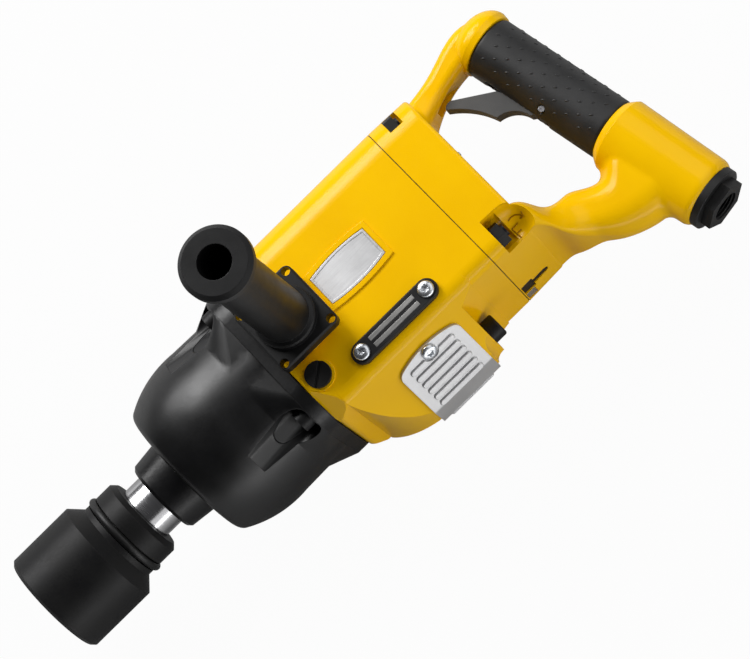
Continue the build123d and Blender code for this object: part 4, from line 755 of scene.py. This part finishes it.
# Camera at the photograph's angle: places in millimetres of the shared frame, reach in metres
cameraLook = {
    "eye": (-314.2, 669.45, 1891.08), "aim": (-250.2, 16.36, -5.63), "roll": 44.5, "tilt": 19.0,
    "lens": 163.2, "sensor": 36.0, "reach": 50,
}
eye = Vector(cameraLook["eye"]) * mm
aim = Vector(cameraLook["aim"]) * mm
looking = (aim - eye).normalized()
tilt = math.radians(cameraLook["tilt"])
roll = math.radians(cameraLook["roll"])
across = Vector((-math.cos(roll), math.sin(roll) * math.cos(tilt), -math.sin(roll) * math.sin(tilt)))
across = (across - looking * across.dot(looking)).normalized()
upward = across.cross(looking)
cameraData = bpy.data.cameras.new("photoCamera")
cameraData.lens = cameraLook["lens"]
cameraData.sensor_width = cameraLook["sensor"]
cameraData.clip_end = cameraLook["reach"]
camera = addWorker("photoCamera", cameraData)
camera.matrix_world = Matrix((across, upward, -looking)).transposed().to_4x4()
camera.location = eye
scene.camera = camera

# Soft studio light: toward is right, up and near as the camera sees it, far and size are in metres
lampLooks = {
    "keySoftbox": {"toward": (-0.66, 0.58, 0.47), "far": 1.4, "size": (0.6, 0.42), "watts": 10.0},
    "sideStrip": {"toward": (-0.68, 0.68, 0.22), "far": 1.4, "size": (1.4, 0.34), "watts": 12.5},
    "topWide": {"toward": (0.35, 0.6, 0.72), "far": 1.4, "size": (1.6, 1.2), "watts": 7.4},
    "sideFill": {"toward": (0.66, -0.42, 0.62), "far": 1.7, "size": (2.2, 1.2), "watts": 8.0},
    "lowStrip": {"toward": (0.64, -0.65, 0.43), "far": 1.25, "size": (2.0, 0.26), "watts": 6.0},
}
for lampName, look in lampLooks.items():
    lampData = bpy.data.lights.new(lampName, "AREA")
    lampData.shape = "RECTANGLE"
    lampData.size, lampData.size_y = look["size"]
    lampData.energy = look["watts"]
    lamp = addWorker(lampName, lampData)
    right, up, near = look["toward"]
    away = (across * right + upward * up - looking * near).normalized()
    lamp.matrix_world = away.to_track_quat("Z", "Y").to_matrix().to_4x4()
    lamp.location = aim + away * look["far"]

# The room: brighter towards the top of the picture
roomLook = {"dim": (0.035, 0.035, 0.036), "dimUpTo": 0.2, "bright": (0.12, 0.12, 0.124), "brightFrom": 0.9}
world = bpy.data.worlds.new("studioRoom")
world.use_nodes = True
scene.world = world
room = NodeKit(world.node_tree)
direction = room.node("ShaderNodeTexCoord", out="Generated")
height = room.vector("DOT_PRODUCT", direction, upward, out="Value")
wallStops = [(roomLook["dimUpTo"], roomLook["dim"]), (roomLook["brightFrom"], roomLook["bright"])]
wallShade = room.node("ShaderNodeValToRGB", {"stops": wallStops}, {"Fac": height * 0.5 + 0.5})
wall = room.node("ShaderNodeBackground", None, {"Color": wallShade})
room.node("ShaderNodeOutputWorld", None, {0: wall})

# Pale floor under the far face: it shows white, and reflections close to the object see its shade
floorLook = {
    "half": 6.0, "drop": 0.2 * mm, "colour": (0.42, 0.42, 0.42), "glow": (1.0, 1.0, 1.0), "white": 0.965,
    "nearShade": (0.06, 0.6),
}
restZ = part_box("motor_housing")[0].z - floorLook["drop"]
half = floorLook["half"]
corners = [(-half, -half, restZ), (half, -half, restZ), (half, half, restZ), (-half, half, restZ)]
floorMesh = bpy.data.meshes.new("studioFloor")
floorMesh.from_pydata(corners, [], [(0, 1, 2, 3)])
floor = addWorker("studioFloor", floorMesh)
floorMaterial = bpy.data.materials.new("paleFloor")
floorMaterial.use_nodes = True
floorKit = NodeKit(floorMaterial.node_tree)
matte = floorKit.node("ShaderNodeBsdfDiffuse", None, {"Color": floorLook["colour"]})
glow = floorKit.node("ShaderNodeEmission", None, {"Color": floorLook["glow"], "Strength": 1.0})
path = floorKit.node("ShaderNodeLightPath")
clear = floorKit.fit(path.other("Ray Length"), floorLook["nearShade"])
seen = path.other("Is Camera Ray") + (path.other("Is Glossy Ray") + path.other("Is Transmission Ray")) * clear
share = seen.atMost(1.0) * floorLook["white"]
both = floorKit.node("ShaderNodeMixShader", None, {0: share, 1: matte, 2: glow})
floorKit.node("ShaderNodeOutputMaterial", None, {0: both})
floorMesh.materials.append(floorMaterial)
print("camera, light and floor set")
